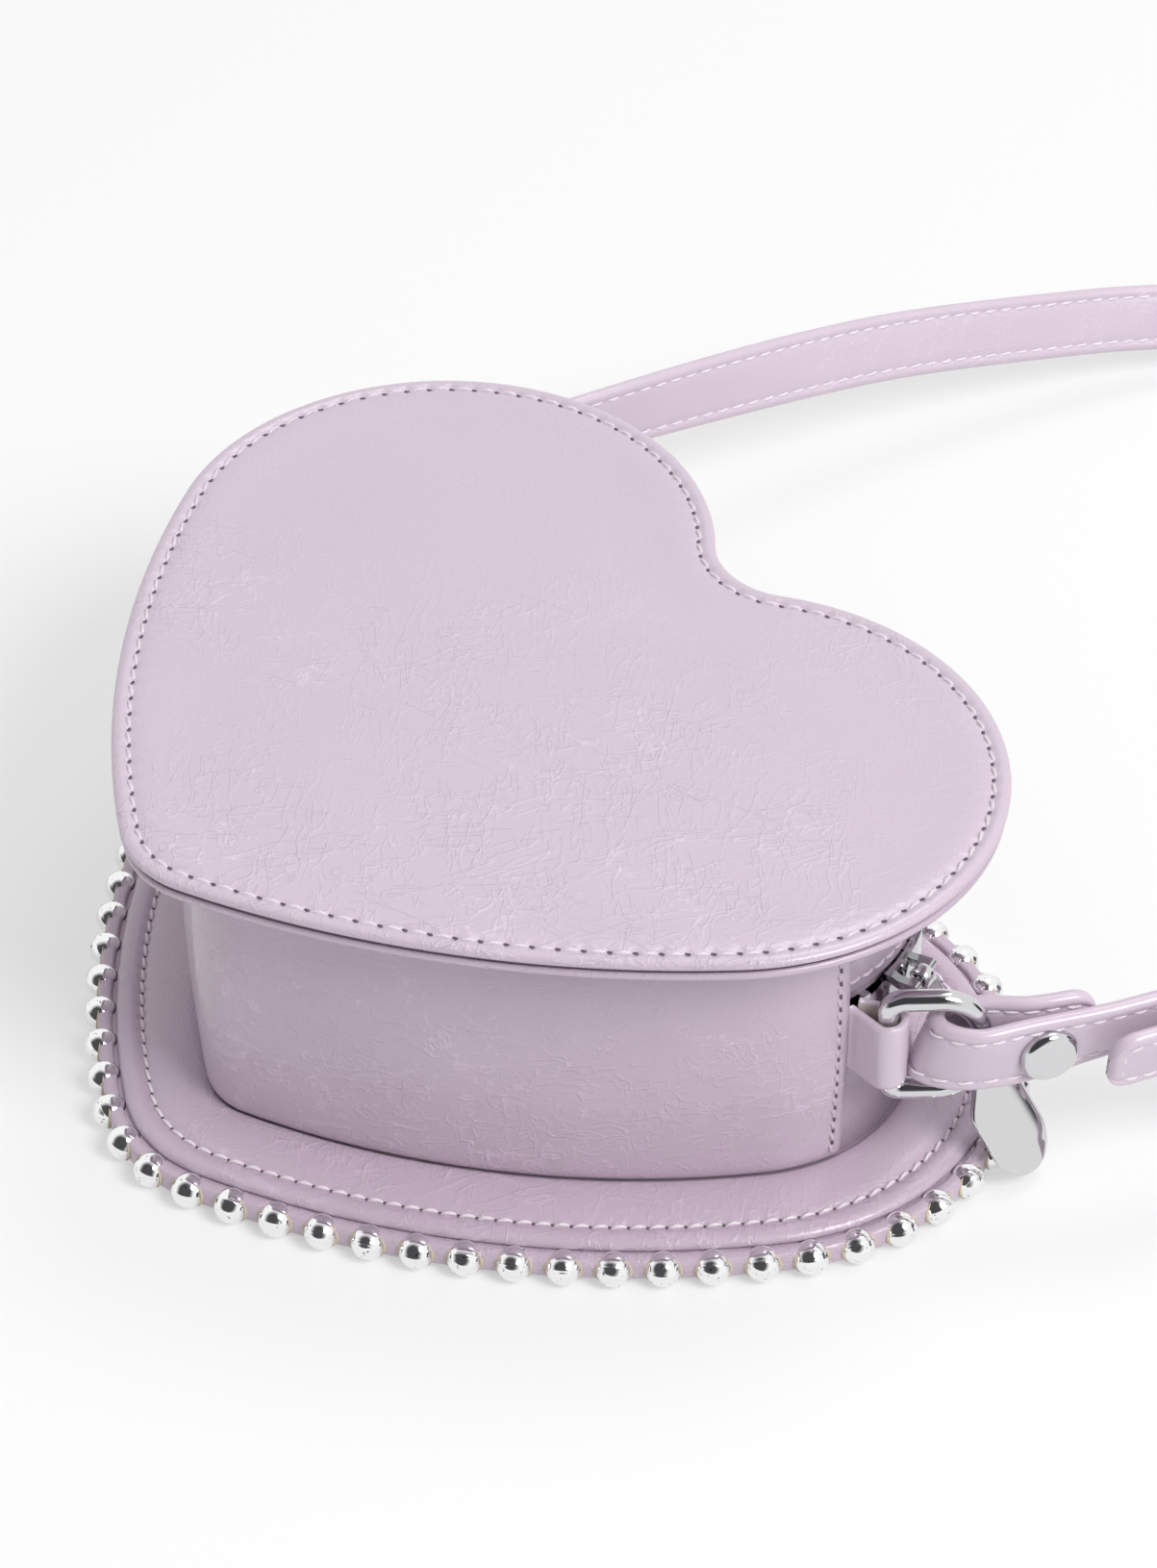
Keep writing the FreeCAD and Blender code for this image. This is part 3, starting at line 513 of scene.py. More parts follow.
# %% Arcs of a heart
def heart_arcs(lobe, lobe_radius, tip_drop, tip_radius, side_radius, notch_radius):
    """Arcs from the tip round to the tip: centre, radius, bulge, and start and end angle."""
    tip = Vector((0, lobe.y - tip_drop))
    notch = Vector((0, lobe.y + math.sqrt((lobe_radius + notch_radius) ** 2 - lobe.x ** 2)))
    span = (tip - lobe).length
    to_lobe = side_radius - lobe_radius
    to_tip = side_radius - tip_radius
    along = (to_lobe ** 2 - to_tip ** 2 + span ** 2) / (2 * span)
    across = math.sqrt(to_lobe ** 2 - along ** 2)
    down = (tip - lobe) / span
    side = lobe + down * along + Vector((down.y, -down.x)) * across
    low = math.atan2(tip.y - side.y, tip.x - side.x)
    wide = math.atan2(lobe.y - side.y, lobe.x - side.x)
    high = math.atan2(notch.y - lobe.y, -lobe.x)
    half = [
        (tip, tip_radius, 1, -math.pi / 2, low),
        (side, side_radius, 1, low, wide),
        (lobe, lobe_radius, 1, wide, high),
        (notch, notch_radius, -1, high - math.pi, -math.pi / 2),
    ]
    other = [(Vector((-centre.x, centre.y)), radius, bulge, math.pi - end, math.pi - start)
             for centre, radius, bulge, start, end in reversed(half)]
    return half + other


print("arcs of a heart can be found")

# %% [markdown]
# A class keeps the arcs of one heart together with their lengths, so that a distance along the outline can be turned
# into a point, its outward normal and the outline's direction.


# %% Heart outline
class Heart:
    """Heart outline at its row of topstitching, in metres."""

    def __init__(self, lobe_radius, lobe_offset, tip_drop, tip_radius, side_radius, notch_radius, shift):
        self.lobe = Vector((lobe_offset, (tip_drop + tip_radius - lobe_radius) / 2 + shift))
        self.lobe_radius = lobe_radius
        self.arcs = heart_arcs(self.lobe, lobe_radius, tip_drop, tip_radius, side_radius, notch_radius)
        self.wide = self.arcs[2][3]
        self.lengths = [arc[1] * abs(arc[4] - arc[3]) for arc in self.arcs]
        self.length = sum(self.lengths)

    def at(self, distance):
        """Point, outward normal and direction at a distance along the outline from the tip."""
        distance %= self.length
        for arc, length in zip(self.arcs, self.lengths):
            if distance <= length:
                break
            distance -= length
        centre, radius, bulge, start, end = arc
        angle = start + (end - start) * min(distance / length, 1.0)
        outward = Vector((math.cos(angle), math.sin(angle))) * bulge
        point = centre + outward * radius * bulge
        return point, outward, Vector((-outward.y, outward.x))

    def lobe_distance(self, angle):
        """Distance along the outline to an angle about the near lobe's centre."""
        return sum(self.lengths[:2]) + self.lobe_radius * (angle - self.wide)

    def stations(self, distances):
        """Points and normals at many distances, as two arrays."""
        found = [self.at(d) for d in distances]
        points = np.array([[p.x, p.y] for p, n, t in found])
        normals = np.array([[n.x, n.y] for p, n, t in found])
        return points, normals


print("heart outline defined")

# %% [markdown]
# The two hearts differ: the front one is wider and blunter, and the back one has larger lobes and a sharper tip. Their
# radii were fitted to the stitch lines in the photo, so they are given as measures and not drawn by eye.

# %% The purse's outlines
front = Heart(40.0 * MM, 42.25 * MM, 64.15 * MM, 21.2 * MM, 153.0 * MM, 17.6 * MM, 0.0)
back = Heart(43.8 * MM, 38.0 * MM, 68.8 * MM, 15.5 * MM, 177.5 * MM, 17.1 * MM, 1.73 * MM)
print("outlines", round(front.length, 4), round(back.length, 4))

# %% [markdown]
# The purse is a stack of layers: front panel, piping, flange, wall, under layer and back panel. Their levels could
# be typed in, but they are read from the frame, so that a change in the CAD moves every soft piece with it.

# %% Levels
floor_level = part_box("front_panel")[0].z
piping_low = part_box("front_panel")[1].z
flange_low, flange_high = (corner.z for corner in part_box("front_flange"))
wall_low, wall_high = (corner.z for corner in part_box("tip_gusset"))
under_low, under_high = (corner.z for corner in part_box("back_flange"))
panel_low, panel_high = (corner.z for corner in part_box("back_panel"))
seam_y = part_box("tip_gusset")[1].y
zip_level = (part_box("zip_tape_front")[1].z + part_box("zip_tape_back")[0].z) / 2
zip_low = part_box("zip_strip_front")[1].z
zip_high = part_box("zip_strip_back")[0].z
print("levels", [round(v / MM, 2) for v in (flange_high, wall_high, panel_low, panel_high, zip_level)])

# %% [markdown]
# ## Mesh helpers
#
# Nearly every piece is a grid of points: one direction runs along an outline or a strap, the other across
# it. Blender's modifiers could bend and thicken plain shapes, but a grid gives each edge and groove its own row of
# points. One helper numbers the faces of such a grid, and one makes the smooth mesh.


# %% Grid to mesh
def new_piece(name, points, faces, *materials):
    """Smooth mesh object from points and faces."""
    mesh = bpy.data.meshes.new(name)
    mesh.from_pydata([tuple(p) for p in points], [], faces)
    mesh.validate()
    mesh.update()
    for material in materials:
        mesh.materials.append(material)
    mesh.polygons.foreach_set("use_smooth", [True] * len(mesh.polygons))
    piece = bpy.data.objects.new(name, mesh)
    bpy.context.scene.collection.objects.link(piece)
    return piece


def grid_faces(rows, columns, close_rows=False, close_columns=False, first=0):
    """Quads of a grid whose points are numbered row by row."""
    faces = []
    for i in range(rows if close_rows else rows - 1):
        for j in range(columns if close_columns else columns - 1):
            a = first + i * columns + j
            b = first + i * columns + (j + 1) % columns
            c = first + ((i + 1) % rows) * columns + (j + 1) % columns
            d = first + ((i + 1) % rows) * columns + j
            faces.append((a, b, c, d))
    return faces


def end_caps(rows, columns):
    """Faces that close the first and the last row of a grid."""
    return [tuple(range(columns)), tuple(reversed(range((rows - 1) * columns, rows * columns)))]


def finish_piece(piece, body, slot, *replaced):
    """Ride on a body and stand for CAD nodes. The slot is not used."""
    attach(piece, body)
    if replaced:
        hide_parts(*replaced)
    return piece


def give_finish(node, finish):
    """Give a CAD node's own mesh a finish."""
    nodes[node].data.materials.clear()
    nodes[node].data.materials.append(finish)


print("helpers for grids and pieces")

# %% [markdown]
# Panels, ledges and walls are all a profile that is carried along a heart. A band goes all the way round. A
# function may lift its points before they become a mesh.


# %% Bands
def carry(profile, points, normals):
    """Grid of a profile of offsets and heights, carried along an outline. Rows follow the profile."""
    return np.array([np.column_stack([points + normals * offset, np.full(len(points), height)])
                     for offset, height in profile])


def around(heart, profile, count, lift=None):
    """Profile carried all the way round a heart."""
    distances = np.arange(count) * heart.length / count
    points, normals = heart.stations(distances)
    grid = carry(profile, points, normals)
    if lift is not None:
        grid = lift(grid, distances)
    return grid


def band_piece(name, heart, profile, count, *materials, lift=None):
    """Closed band with a closed profile."""
    grid = around(heart, profile, count, lift)
    faces = grid_faces(len(profile), count, close_rows=True, close_columns=True)
    return new_piece(name, grid.reshape(-1, 3), faces, *materials)


print("helpers for bands")

# %% [markdown]
# A plate has a band for its edge, and rings of points that shrink towards the middle fill in both of its faces. A
# single large face would do for a flat one, but these swell and need points to bend.


# %% Plates
def plate_piece(name, heart, profile, count, centre_low, centre_high, shares, *materials, lift=None):
    """Plate whose edge follows a profile from its upper to its lower face, filled in to the middle."""
    grid = around(heart, profile, count, lift)
    middle = np.array([0.0, heart.lobe.y - heart.lobe_radius * 0.5])

    def inwards(edge, share, centre):
        row = edge.copy()
        row[:, :2] = middle + (row[:, :2] - middle) * share
        row[:, 2] = centre + (row[:, 2] - centre) * share ** 3
        return row

    upper = [inwards(grid[0], share, centre_high) for share in shares]
    lower = [inwards(grid[-1], share, centre_low) for share in reversed(shares)]
    full = np.array(upper + list(grid) + lower)
    points = full.reshape(-1, 3)
    faces = grid_faces(len(full), count, close_columns=True)
    top = len(points)
    points = np.vstack([points, [[*middle, centre_high], [*middle, centre_low]]])
    last = (len(full) - 1) * count
    for j in range(count):
        k = (j + 1) % count
        faces.append((top, k, j))
        faces.append((top + 1, last + j, last + k))
    faces = [tuple(reversed(face)) for face in faces]
    return new_piece(name, points, faces, *materials)


print("helper for plates")

# %% [markdown]
# A wall follows only part of the way, so its grid is open along the outline, and a face closes it at each end.


# %% Walls
def wall_piece(name, heart, start, end, step, profile, *materials, ease=None):
    """Open wall along part of an outline: a closed profile of offsets and heights, with closed ends."""
    count = max(int(round((end - start) / step)), 8)
    distances = np.linspace(start, end, count)
    points, normals = heart.stations(distances)
    grid = carry(profile, points, normals)
    if ease is not None:
        grid = ease(grid, distances, normals)
    faces = grid_faces(len(profile), count, close_rows=True)
    size = len(profile)
    faces.append(tuple(i * count for i in range(size)))
    faces.append(tuple(i * count + count - 1 for i in reversed(range(size))))
    return new_piece(name, grid.reshape(-1, 3), faces, *materials)


print("helper for walls")

# %% [markdown]
# ## Stitches
#
# A sewn stitch is a short length of thread that rises from one needle hole and sinks into the next. Each one here is a
# small spindle, set in the groove that its tension pulls into the leather. Copies along a curve would need a modifier
# for each row; one mesh for each row is simpler to ride.


# %% One stitch
def spindle(sides=8, steps=9):
    """Unit stitch along X: a two-ply thread that thins and dips at its ends."""
    points = []
    for i in range(steps):
        t = i / (steps - 1)
        swell = math.sin(math.pi * (0.08 + 0.84 * t)) ** 0.45
        dip = -1.3 * abs(2 * t - 1) ** 3
        for j in range(sides):
            turn = 2 * math.pi * j / sides
            ply = swell * (1 + 0.16 * math.cos(2 * turn + 8 * t))
            points.append((t - 0.5, ply * math.cos(turn), ply * math.sin(turn) + dip))
    faces = grid_faces(steps, sides, close_columns=True)
    faces.append(tuple(reversed(range(sides))))
    faces.append(tuple((steps - 1) * sides + j for j in range(sides)))
    return np.array(points), faces


def scatter(unit, unit_faces, spots):
    """Points and faces of many copies of a unit shape, each given by its three axes and its place."""
    points = [unit @ np.array(axes) + np.array(place) for axes, place in spots]
    faces = [tuple(i * len(unit) + k for k in face) for i in range(len(points)) for face in unit_faces]
    return np.vstack(points), faces


def stitch_mesh(places, ways, ups, length, radius, slant=0.10):
    """Points and faces of many stitches, each given by its middle, its direction and the leather's normal."""
    spots = []
    for place, way, up in zip(places, ways, ups):
        way = Vector(way).normalized()
        up = Vector(up).normalized()
        turned = (way + up.cross(way).normalized() * slant).normalized()
        side = up.cross(turned).normalized()
        spots.append(([turned * length, side * radius, up * radius], place))
    return scatter(*spindle(), spots)


print("stitch faces", len(spindle()[1]))

# %% [markdown]
# A row follows an outline on a level surface: first the threads, and then the needle holes between them, which are the
# same spindle pressed flat and painted dark, painted shade for the shadow inside each hole. Holes cut into the leather
# would be truer, but at this size only their shade shows.


# %% Rows of stitches and needle holes
def row_places(heart, offset, height, pitch_count, shift, start=0.0):
    """Places, directions and outward normals at an even pitch along an outline, and the pitch."""
    step = (heart.length - 2 * start) / pitch_count
    places = []
    ways = []
    outwards = []
    for i in range(pitch_count):
        point, outward, way = heart.at(start + (i + shift) * step)
        point = point + outward * offset
        places.append((point.x, point.y, height))
        ways.append((way.x, way.y, 0))
        outwards.append((outward.x, outward.y, 0))
    return places, ways, outwards, step


def outline_stitches(name, heart, offset, height, pitch_count, material, share=0.88, radius=0.34 * MM):
    """Row of stitches along an outline on a level surface."""
    places, ways, outwards, step = row_places(heart, offset, height, pitch_count, 0.5)
    points, faces = stitch_mesh(places, ways, [(0, 0, 1)] * pitch_count, step * share, radius, 0.16)
    return new_piece(name, points, faces, material)


def outline_pits(name, heart, offset, height, pitch_count, size):
    """Needle holes between the stitches of an outline row: flat lens shapes sunk in the leather and painted dark,
    painted shade.
    """
    places, ways, outwards, step = row_places(heart, offset, height, pitch_count, 0)
    points, faces = stitch_mesh(places, ways, [(0, 0, 1)] * pitch_count, size[0], size[1], -0.35)
    middle = np.repeat(np.array(places)[:, 2], len(points) // pitch_count)
    points[:, 2] = middle + np.clip((points[:, 2] - middle) * 0.3, -0.2 * MM, 0.05 * MM)
    return new_piece(name, points, faces, hole_shade)


stitch_pitch = 3.1 * MM
print("stitch pitch", stitch_pitch)

# %% [markdown]
# ## Back panel
#
# The back panel is the large heart seen from above. Its leather is turned under at the edge, so the rim
# outside the stitches is puffed and round, and the stitches lie in a shallow groove. The middle swells very
# slightly over its board. Cloth simulation could swell it, but glued leather on a board has a set form. First
# comes the pull of the thread, which dimples the leather most of all at each needle hole.


# %% Pull of the thread
def needle_dimples(pitch_count, row_offsets, depth, reach):
    """Lift function that pulls the leather down along a stitch row, most of all at its needle holes."""

    def lift(grid, distances):
        phase = distances / distances[-1] * (len(distances) - 1) / len(distances) * pitch_count
        hole = np.cos(2 * math.pi * phase) * 0.5 + 0.5
        for row, offset in enumerate(row_offsets):
            pull = math.exp(-((offset / reach) ** 2))
            if pull > 0.02:
                grid[row, :, 2] -= depth * pull * (0.40 + 0.60 * hole ** 4)
        return grid

    return lift


back_stitches = int(round(back.length / (4.0 * MM)))
back_count = back_stitches * 10
print("back stitches", back_stitches)

# %% [markdown]
# The profile of the panel runs from its flat top over the swell, the stitch groove and the puffed edge to the
# turned-under rim. Offsets are measured from the stitch row, outwards. A bevel on the plain solid would round the
# edge, but it would have no groove.

# %% Back panel
panel_top = [-14.0, -9.0, -6.0, -4.0, -2.6, -1.6, -1.0, -0.6, -0.3, 0.0, 0.3, 0.6, 1.0, 1.5]
panel_rim = [(1.9, 0.02), (2.3, -0.12), (2.6, -0.36), (2.75, -0.72), (2.72, -1.10), (2.5, -1.42), (2.1, -1.58)]
puff = 0.28
panel_profile = []
for offset in panel_top:
    swell = puff * math.exp(-(((offset - 1.2) / 0.9) ** 2)) + 0.22 * math.exp(-(((offset + 3.5) / 3.0) ** 2))
    panel_profile.append((offset * MM, panel_high + swell * MM))
for offset, drop in panel_rim:
    panel_profile.append((offset * MM, panel_high + (drop + 0.1) * MM))
panel_profile.append((-1.0 * MM, panel_low + 0.02 * MM))
panel_profile.append((-9.0 * MM, panel_low + 0.02 * MM))
dimples = needle_dimples(back_stitches, [p[0] / MM for p in panel_profile[:16]], 0.50 * MM, 0.85)
fill_shares = [0.06, 0.2, 0.36, 0.52, 0.66, 0.78, 0.88, 0.95]
back_panel = plate_piece(
    "back_panel_leather", back, panel_profile, back_count, panel_low + 0.02 * MM, panel_high + 0.35 * MM,
    fill_shares, leather_panel, lift=dimples)
finish_piece(back_panel, "bag", "panel_leather", "back_panel")
print("back panel", len(back_panel.data.vertices), "points")

# %% [markdown]
# The panel's thread is glossy and is painted paler than the leather, a painted highlight for the light that it
# catches, and the holes at its ends are small and painted dark, painted shade. Both rows sit a little below the
# leather's level, in the groove.

# %% Stitches of the back panel
back_topstitch = outline_stitches(
    "back_topstitch", back, 0.0, panel_high - 0.08 * MM, back_stitches, thread_panel_glint, 0.78, radius=0.38 * MM)
finish_piece(back_topstitch, "bag", "thread")
back_pits = outline_pits("back_hole_shade_pits", back, -0.15 * MM, panel_high - 0.24 * MM, back_stitches,
                         (1.25 * MM, 0.30 * MM))
finish_piece(back_pits, "bag", "thread")
print("topstitch", len(back_topstitch.data.vertices), "points, holes", len(back_pits.data.vertices))

# %% [markdown]
# Under the panel lies a second layer, to which the gusset is sewn. Between the two edges runs a groove that lies in
# shade: the board in there stops short of the rim. The groove could be left open, but light would then fall through to
# the board, so a thin dark band closes it, painted shade for the shadow in the groove, deeper on one side than on the
# other.

# %% Under layer, boards and painted groove shade of the back
under_mid = (under_low + under_high) / 2
under_half = (under_high - under_low) / 2
under_profile = []
for turn in np.linspace(-0.5, 0.5, 9) * math.pi:
    under_profile.append((1.75 * MM + 0.65 * MM * math.cos(turn),
                          under_mid + (under_half + 0.12 * MM) * math.sin(turn)))
under_profile += [(-4.0 * MM, under_high), (-14.4 * MM, under_high), (-14.4 * MM, under_low), (-4.0 * MM, under_low)]
under_layer = band_piece("back_under_layer", back, under_profile, 480, leather_flange)
finish_piece(under_layer, "bag", "gusset_leather", "back_flange")


def groove_shade_recess(grid, distances):
    """Draw the band of painted shade back between the layers, least of all round the far side of the tip."""
    share = 0.5 + 0.5 * np.cos((distances / back.length - 0.93) * 2 * math.pi)
    points, normals = back.stations(distances)
    grid[:, :, :2] -= normals * (0.28 * MM * (1 - share ** 2))[:, None]
    return grid


shade_band_low = under_high - 0.1 * MM
shade_band_high = panel_low + 0.1 * MM
shade_band_profile = [(1.95 * MM, shade_band_low), (1.95 * MM, shade_band_high), (-2.4 * MM, shade_band_high), (-2.4 * MM, shade_band_low)]
# A dark band of painted shade in the groove between the two layers.
groove_shade_band = band_piece("back_groove_shade", back, shade_band_profile, 480, hole_shade, lift=groove_shade_recess)
finish_piece(groove_shade_band, "bag", "stiffener")
for board in ("back_board", "front_board"):
    give_finish(board, stiff_board)
print("under layer", len(under_layer.data.vertices))

# %% [markdown]
# ## Gusset
#
# The wall round the tip is one soft piece. It leans out a little at half its height and is creased where it
# meets the flange, so its profile bows, and slow waves along its length keep it from looking turned on a
# lathe. Sculpting would do that too, but sines can be repeated. Its two ends are lapped over the zipper strips and
# sewn there.


# %% Wall round the tip
def soft_waves(distance, height, seed):
    """Slow, small waves over a wall, from a few sines."""
    a = np.sin(distance / MM / 11.0 + seed) * np.sin(height / MM / 9.0 + seed * 1.7)
    b = np.sin(distance / MM / 23.0 + seed * 2.3 + height / MM / 17.0)
    return 0.6 * a + 0.8 * b


def lobe_start(y, inset):
    """Distance along the front heart to where a wall inside its near lobe reaches a level of Y."""
    return front.lobe_distance(math.asin((y - front.lobe.y) / (front.lobe_radius - inset)))


wall_inset = 9.6
wall_bow = 0.9
crease_depth = 1.5
crease_reach = 0.8
seam_distance = lobe_start(seam_y, wall_inset * MM)
wall_rows = np.concatenate([[0.0, 0.005, 0.01, 0.018, 0.03], np.linspace(0.05, 1.0, 39)])
wall_outer = []
for share in wall_rows:
    height = wall_low + (wall_high - wall_low) * share
    rise = (height - wall_low) / MM
    bow = wall_bow * math.sin(math.pi * share) - crease_depth * math.exp(-rise / crease_reach)
    wall_outer.append(((bow - wall_inset) * MM, height))
wall_inner = [(min(-10.75 * MM, offset - 0.35 * MM), height) for offset, height in reversed(wall_outer[::3])]


def wall_ease(grid, distances, normals):
    """Push the outer face in and out with the slow waves, less towards its edges."""
    outer = len(wall_outer)
    length = distances[-1] - distances[0]
    ends = np.minimum((distances - distances[0]) / length, (distances[-1] - distances) / length) * length
    fade = np.clip(ends / (8 * MM), 0, 1)
    for row in range(outer):
        height = grid[row, 0, 2]
        share = (height - wall_low) / (wall_high - wall_low)
        amount = 0.32 * MM * soft_waves(distances, height, 0.6) * math.sin(math.pi * share) ** 0.7 * fade
        grid[row, :, :2] += normals * amount[:, None]
    return grid


tip_wall = wall_piece(
    "tip_wall", front, -seam_distance, seam_distance, 1.2 * MM, wall_outer + wall_inner, leather_gusset,
    ease=wall_ease)
finish_piece(tip_wall, "bag", "gusset_leather", "tip_gusset")
print("wall round the tip", len(tip_wall.data.vertices))

# %% [markdown]
# The two ends of the tip's wall are sewn down with an upright row of stitches a few millimetres from the
# edge. The row follows the wall's bow, so each stitch sits on the leather and none sinks in.


# %% Upright seam stitches
def upright_stitches(name, heart, distance, low, high, material, length=0.84, radius=0.36 * MM):
    """Upright row of stitches on the bowed wall."""
    count = int(round((high - low) / (2.8 * MM)))
    step = (high - low) / count
    point, outward, way = heart.at(distance)
    places = []
    for i in range(count):
        height = low + (i + 0.5) * step
        bow = wall_bow * math.sin(math.pi * (height - wall_low) / (wall_high - wall_low))
        place = point + outward * ((bow - wall_inset + 0.05) * MM)
        places.append((place.x, place.y, height))
    ups = [(outward.x, outward.y, 0)] * count
    points, faces = stitch_mesh(places, [(0, 0, 1)] * count, ups, step * length, radius)
    return new_piece(name, points, faces, material)


seam_stitch_inset = 2.6 * MM
for side, name in ((1, "seam_stitches_right"), (-1, "seam_stitches_left")):
    row = upright_stitches(
        name, front, side * (seam_distance - seam_stitch_inset), wall_low + 2 * MM, wall_high - 2 * MM,
        thread_pale)
    finish_piece(row, "bag", "thread")
    # Needle holes beside the seam, painted dark as painted shade.
    holes = upright_stitches(
        name.replace("stitches", "holes"), front, side * (seam_distance - seam_stitch_inset + 0.3 * MM),
        wall_low + 3.4 * MM, wall_high - 0.6 * MM, hole_shade, 0.52, 0.28 * MM)
    finish_piece(holes, "bag", "thread")
print("seam stitches", len(row.data.vertices))

# %% [markdown]
# ## Zipper
#
# Round the lobes the wall is in two strips, with the zipper between them. Each strip is a thin wall with softened
# edges, and behind it lies the woven tape that carries the teeth. Both follow the front heart, a fixed distance
# inside it. The teeth themselves keep their CAD shapes.

# %% Zipper strips and tapes
strip_inset = 10.8 * MM
tape_inset = 12.3 * MM
strip_start = lobe_start(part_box("zip_strip_front")[0].y, strip_inset)
strip_end = front.length - strip_start


def rounded_wall(outside, inside, low, high, bead=0.25 * MM):
    """Closed profile of a leather strip with softened edges."""
    return [
        (outside - bead, low), (outside, low + bead), (outside + 0.12 * MM, (low + high) / 2),
        (outside, high - bead), (outside - bead, high), (inside + bead, high), (inside, high - bead),
        (inside, low + bead), (inside + bead, low)]


strips = {"zip_strip_front": (wall_low, zip_low), "zip_strip_back": (zip_high, wall_high)}
for node, (low, high) in strips.items():
    strip = wall_piece(node + "_leather", front, strip_start, strip_end, 1.2 * MM,
                       rounded_wall(-10.85 * MM, -11.95 * MM, low, high), leather_gusset)
    finish_piece(strip, "bag", "gusset_leather", node)
tape_start = lobe_start(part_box("zip_tape_front")[0].y, tape_inset)
for node in ("zip_tape_front", "zip_tape_back"):
    low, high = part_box(node)
    tape = wall_piece(node + "_cloth", front, tape_start, front.length - tape_start, 1.2 * MM,
                      rounded_wall(-12.05 * MM, -12.55 * MM, low.z, high.z, 0.12 * MM), tape_cloth)
    finish_piece(tape, "bag", "zip_tape", node)
print("zipper strips", list(strips))

# %% [markdown]
# One row of stitches beside the opening holds each strip to its tape. It lies on the strip's upright face, so its
# stitches rise outwards and not upwards.

# %% Stitches along the zipper
row_start = lobe_start(seam_y + 1.0 * MM, strip_inset)
edge_gap = 2.4 * MM
strip_face = -10.72 * MM
count = int(round((front.length - 2 * row_start) * 0.78 / stitch_pitch))
for name, level in (("zip_stitches_front", zip_low - edge_gap), ("zip_stitches_back", zip_high + edge_gap)):
    places, ways, outwards, step = row_places(front, strip_face, level, count, 0.5, row_start)
    points, faces = stitch_mesh(places, ways, outwards, 2.9 * MM, 0.32 * MM)
    finish_piece(new_piece(name, points, faces, thread_pale), "bag", "thread")
print("stitches along the zipper", 2 * count)

# %% [markdown]
# ## Front flange
#
# The flange is the ledge below the wall. Foam under it makes it swell between the crease and its stitches,
# and its rim is rolled like that of the back panel, so it is made in the same way: one profile with the swell, the
# groove and the rim, carried round the front heart.

# %% Front flange and its stitches
front_stitches = int(round(front.length / stitch_pitch))
front_count = front_stitches * 8
ledge = [
    (-14.4, -0.2), (-10.9, -0.25), (-10.5, -0.1), (-10.15, 0.2), (-9.9, 0.46), (-9.4, 0.6), (-8.0, 0.68),
    (-6.0, 0.68), (-4.0, 0.60), (-2.4, 0.45), (-1.5, 0.26), (-0.9, 0.12), (-0.5, 0.02), (-0.2, -0.06),
    (0.0, -0.1), (0.2, -0.05), (0.5, 0.06), (0.9, 0.22), (1.5, 0.38), (2.3, 0.42), (3.1, 0.30),
    (3.8, 0.0), (4.2, -0.36), (4.42, -0.8), (4.4, -1.1), (4.1, -1.3), (3.2, -1.32), (-2.0, -1.2), (-14.4, -1.2)]
ledge_profile = [(offset * MM, flange_high + rise * MM) for offset, rise in ledge]
ledge_dimples = needle_dimples(front_stitches, [p[0] / MM for p in ledge_profile[:21]], 0.38 * MM, 0.8)
ledge_band = band_piece("front_ledge", front, ledge_profile, front_count, leather_flange, lift=ledge_dimples)
finish_piece(ledge_band, "bag", "gusset_leather", "front_flange")
ledge_topstitch = outline_stitches(
    "front_topstitch", front, 0.0, flange_high + 0.02 * MM, front_stitches, thread_bright)
finish_piece(ledge_topstitch, "bag", "thread")
# Needle holes of the ledge, painted dark as painted shade.
ledge_pits = outline_pits("front_hole_shade_pits", front, -0.1 * MM, flange_high - 0.28 * MM, front_stitches,
                          (0.7 * MM, 0.24 * MM))
finish_piece(ledge_pits, "bag", "thread")
print("ledge", len(ledge_band.data.vertices), "points,", front_stitches, "stitches")

# %% [markdown]
# ## Studded piping
#
# The piping is a strip of leather folded over a string of beads. Each bead looks out through a punched hole
# whose cut edge shows the cream backing. First the beads' places are found. Equal steps along the heart would crowd
# them in the notch and spread them at the lobes, so the steps are equal along the bead line itself.

# %% Places of the beads
bead_offset = 7.1 * MM
bead_radius = 2.95 * MM
bead_level = (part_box("stud_beads")[0].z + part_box("stud_beads")[1].z) / 2 + 0.15 * MM
bead_line = front.length + 2 * math.pi * bead_offset
bead_count = int(round(bead_line / (8.05 * MM)))


def bead_places():
    """Middle, outward normal and direction of each bead, evenly spaced along the bead line."""
    fine = 6000
    distances = np.arange(fine) * front.length / fine
    points, normals = front.stations(distances)
    line = points + normals * bead_offset
    steps = np.linalg.norm(np.roll(line, -1, 0) - line, axis=1)
    travelled = np.concatenate([[0], np.cumsum(steps)])
    wanted = (np.arange(bead_count) + 0.5) * travelled[-1] / bead_count
    found = []
    for want in wanted:
        index = int(np.searchsorted(travelled, want)) - 1
        share = (want - travelled[index]) / steps[index]
        distance = (index + share) * front.length / fine
        point, outward, way = front.at(distance)
        found.append((point + outward * bead_offset, outward, way, distance))
    return found


beads = bead_places()
print("beads", bead_count)

# %% [markdown]
# The folded strip is a tube with a squarish section that follows the bead row: narrow between two beads and wider
# around each one. A web joins it to the seam between flange and front panel. Cutting real holes with a boolean
# would leave ragged faces, so the beads simply stand out of the tube.

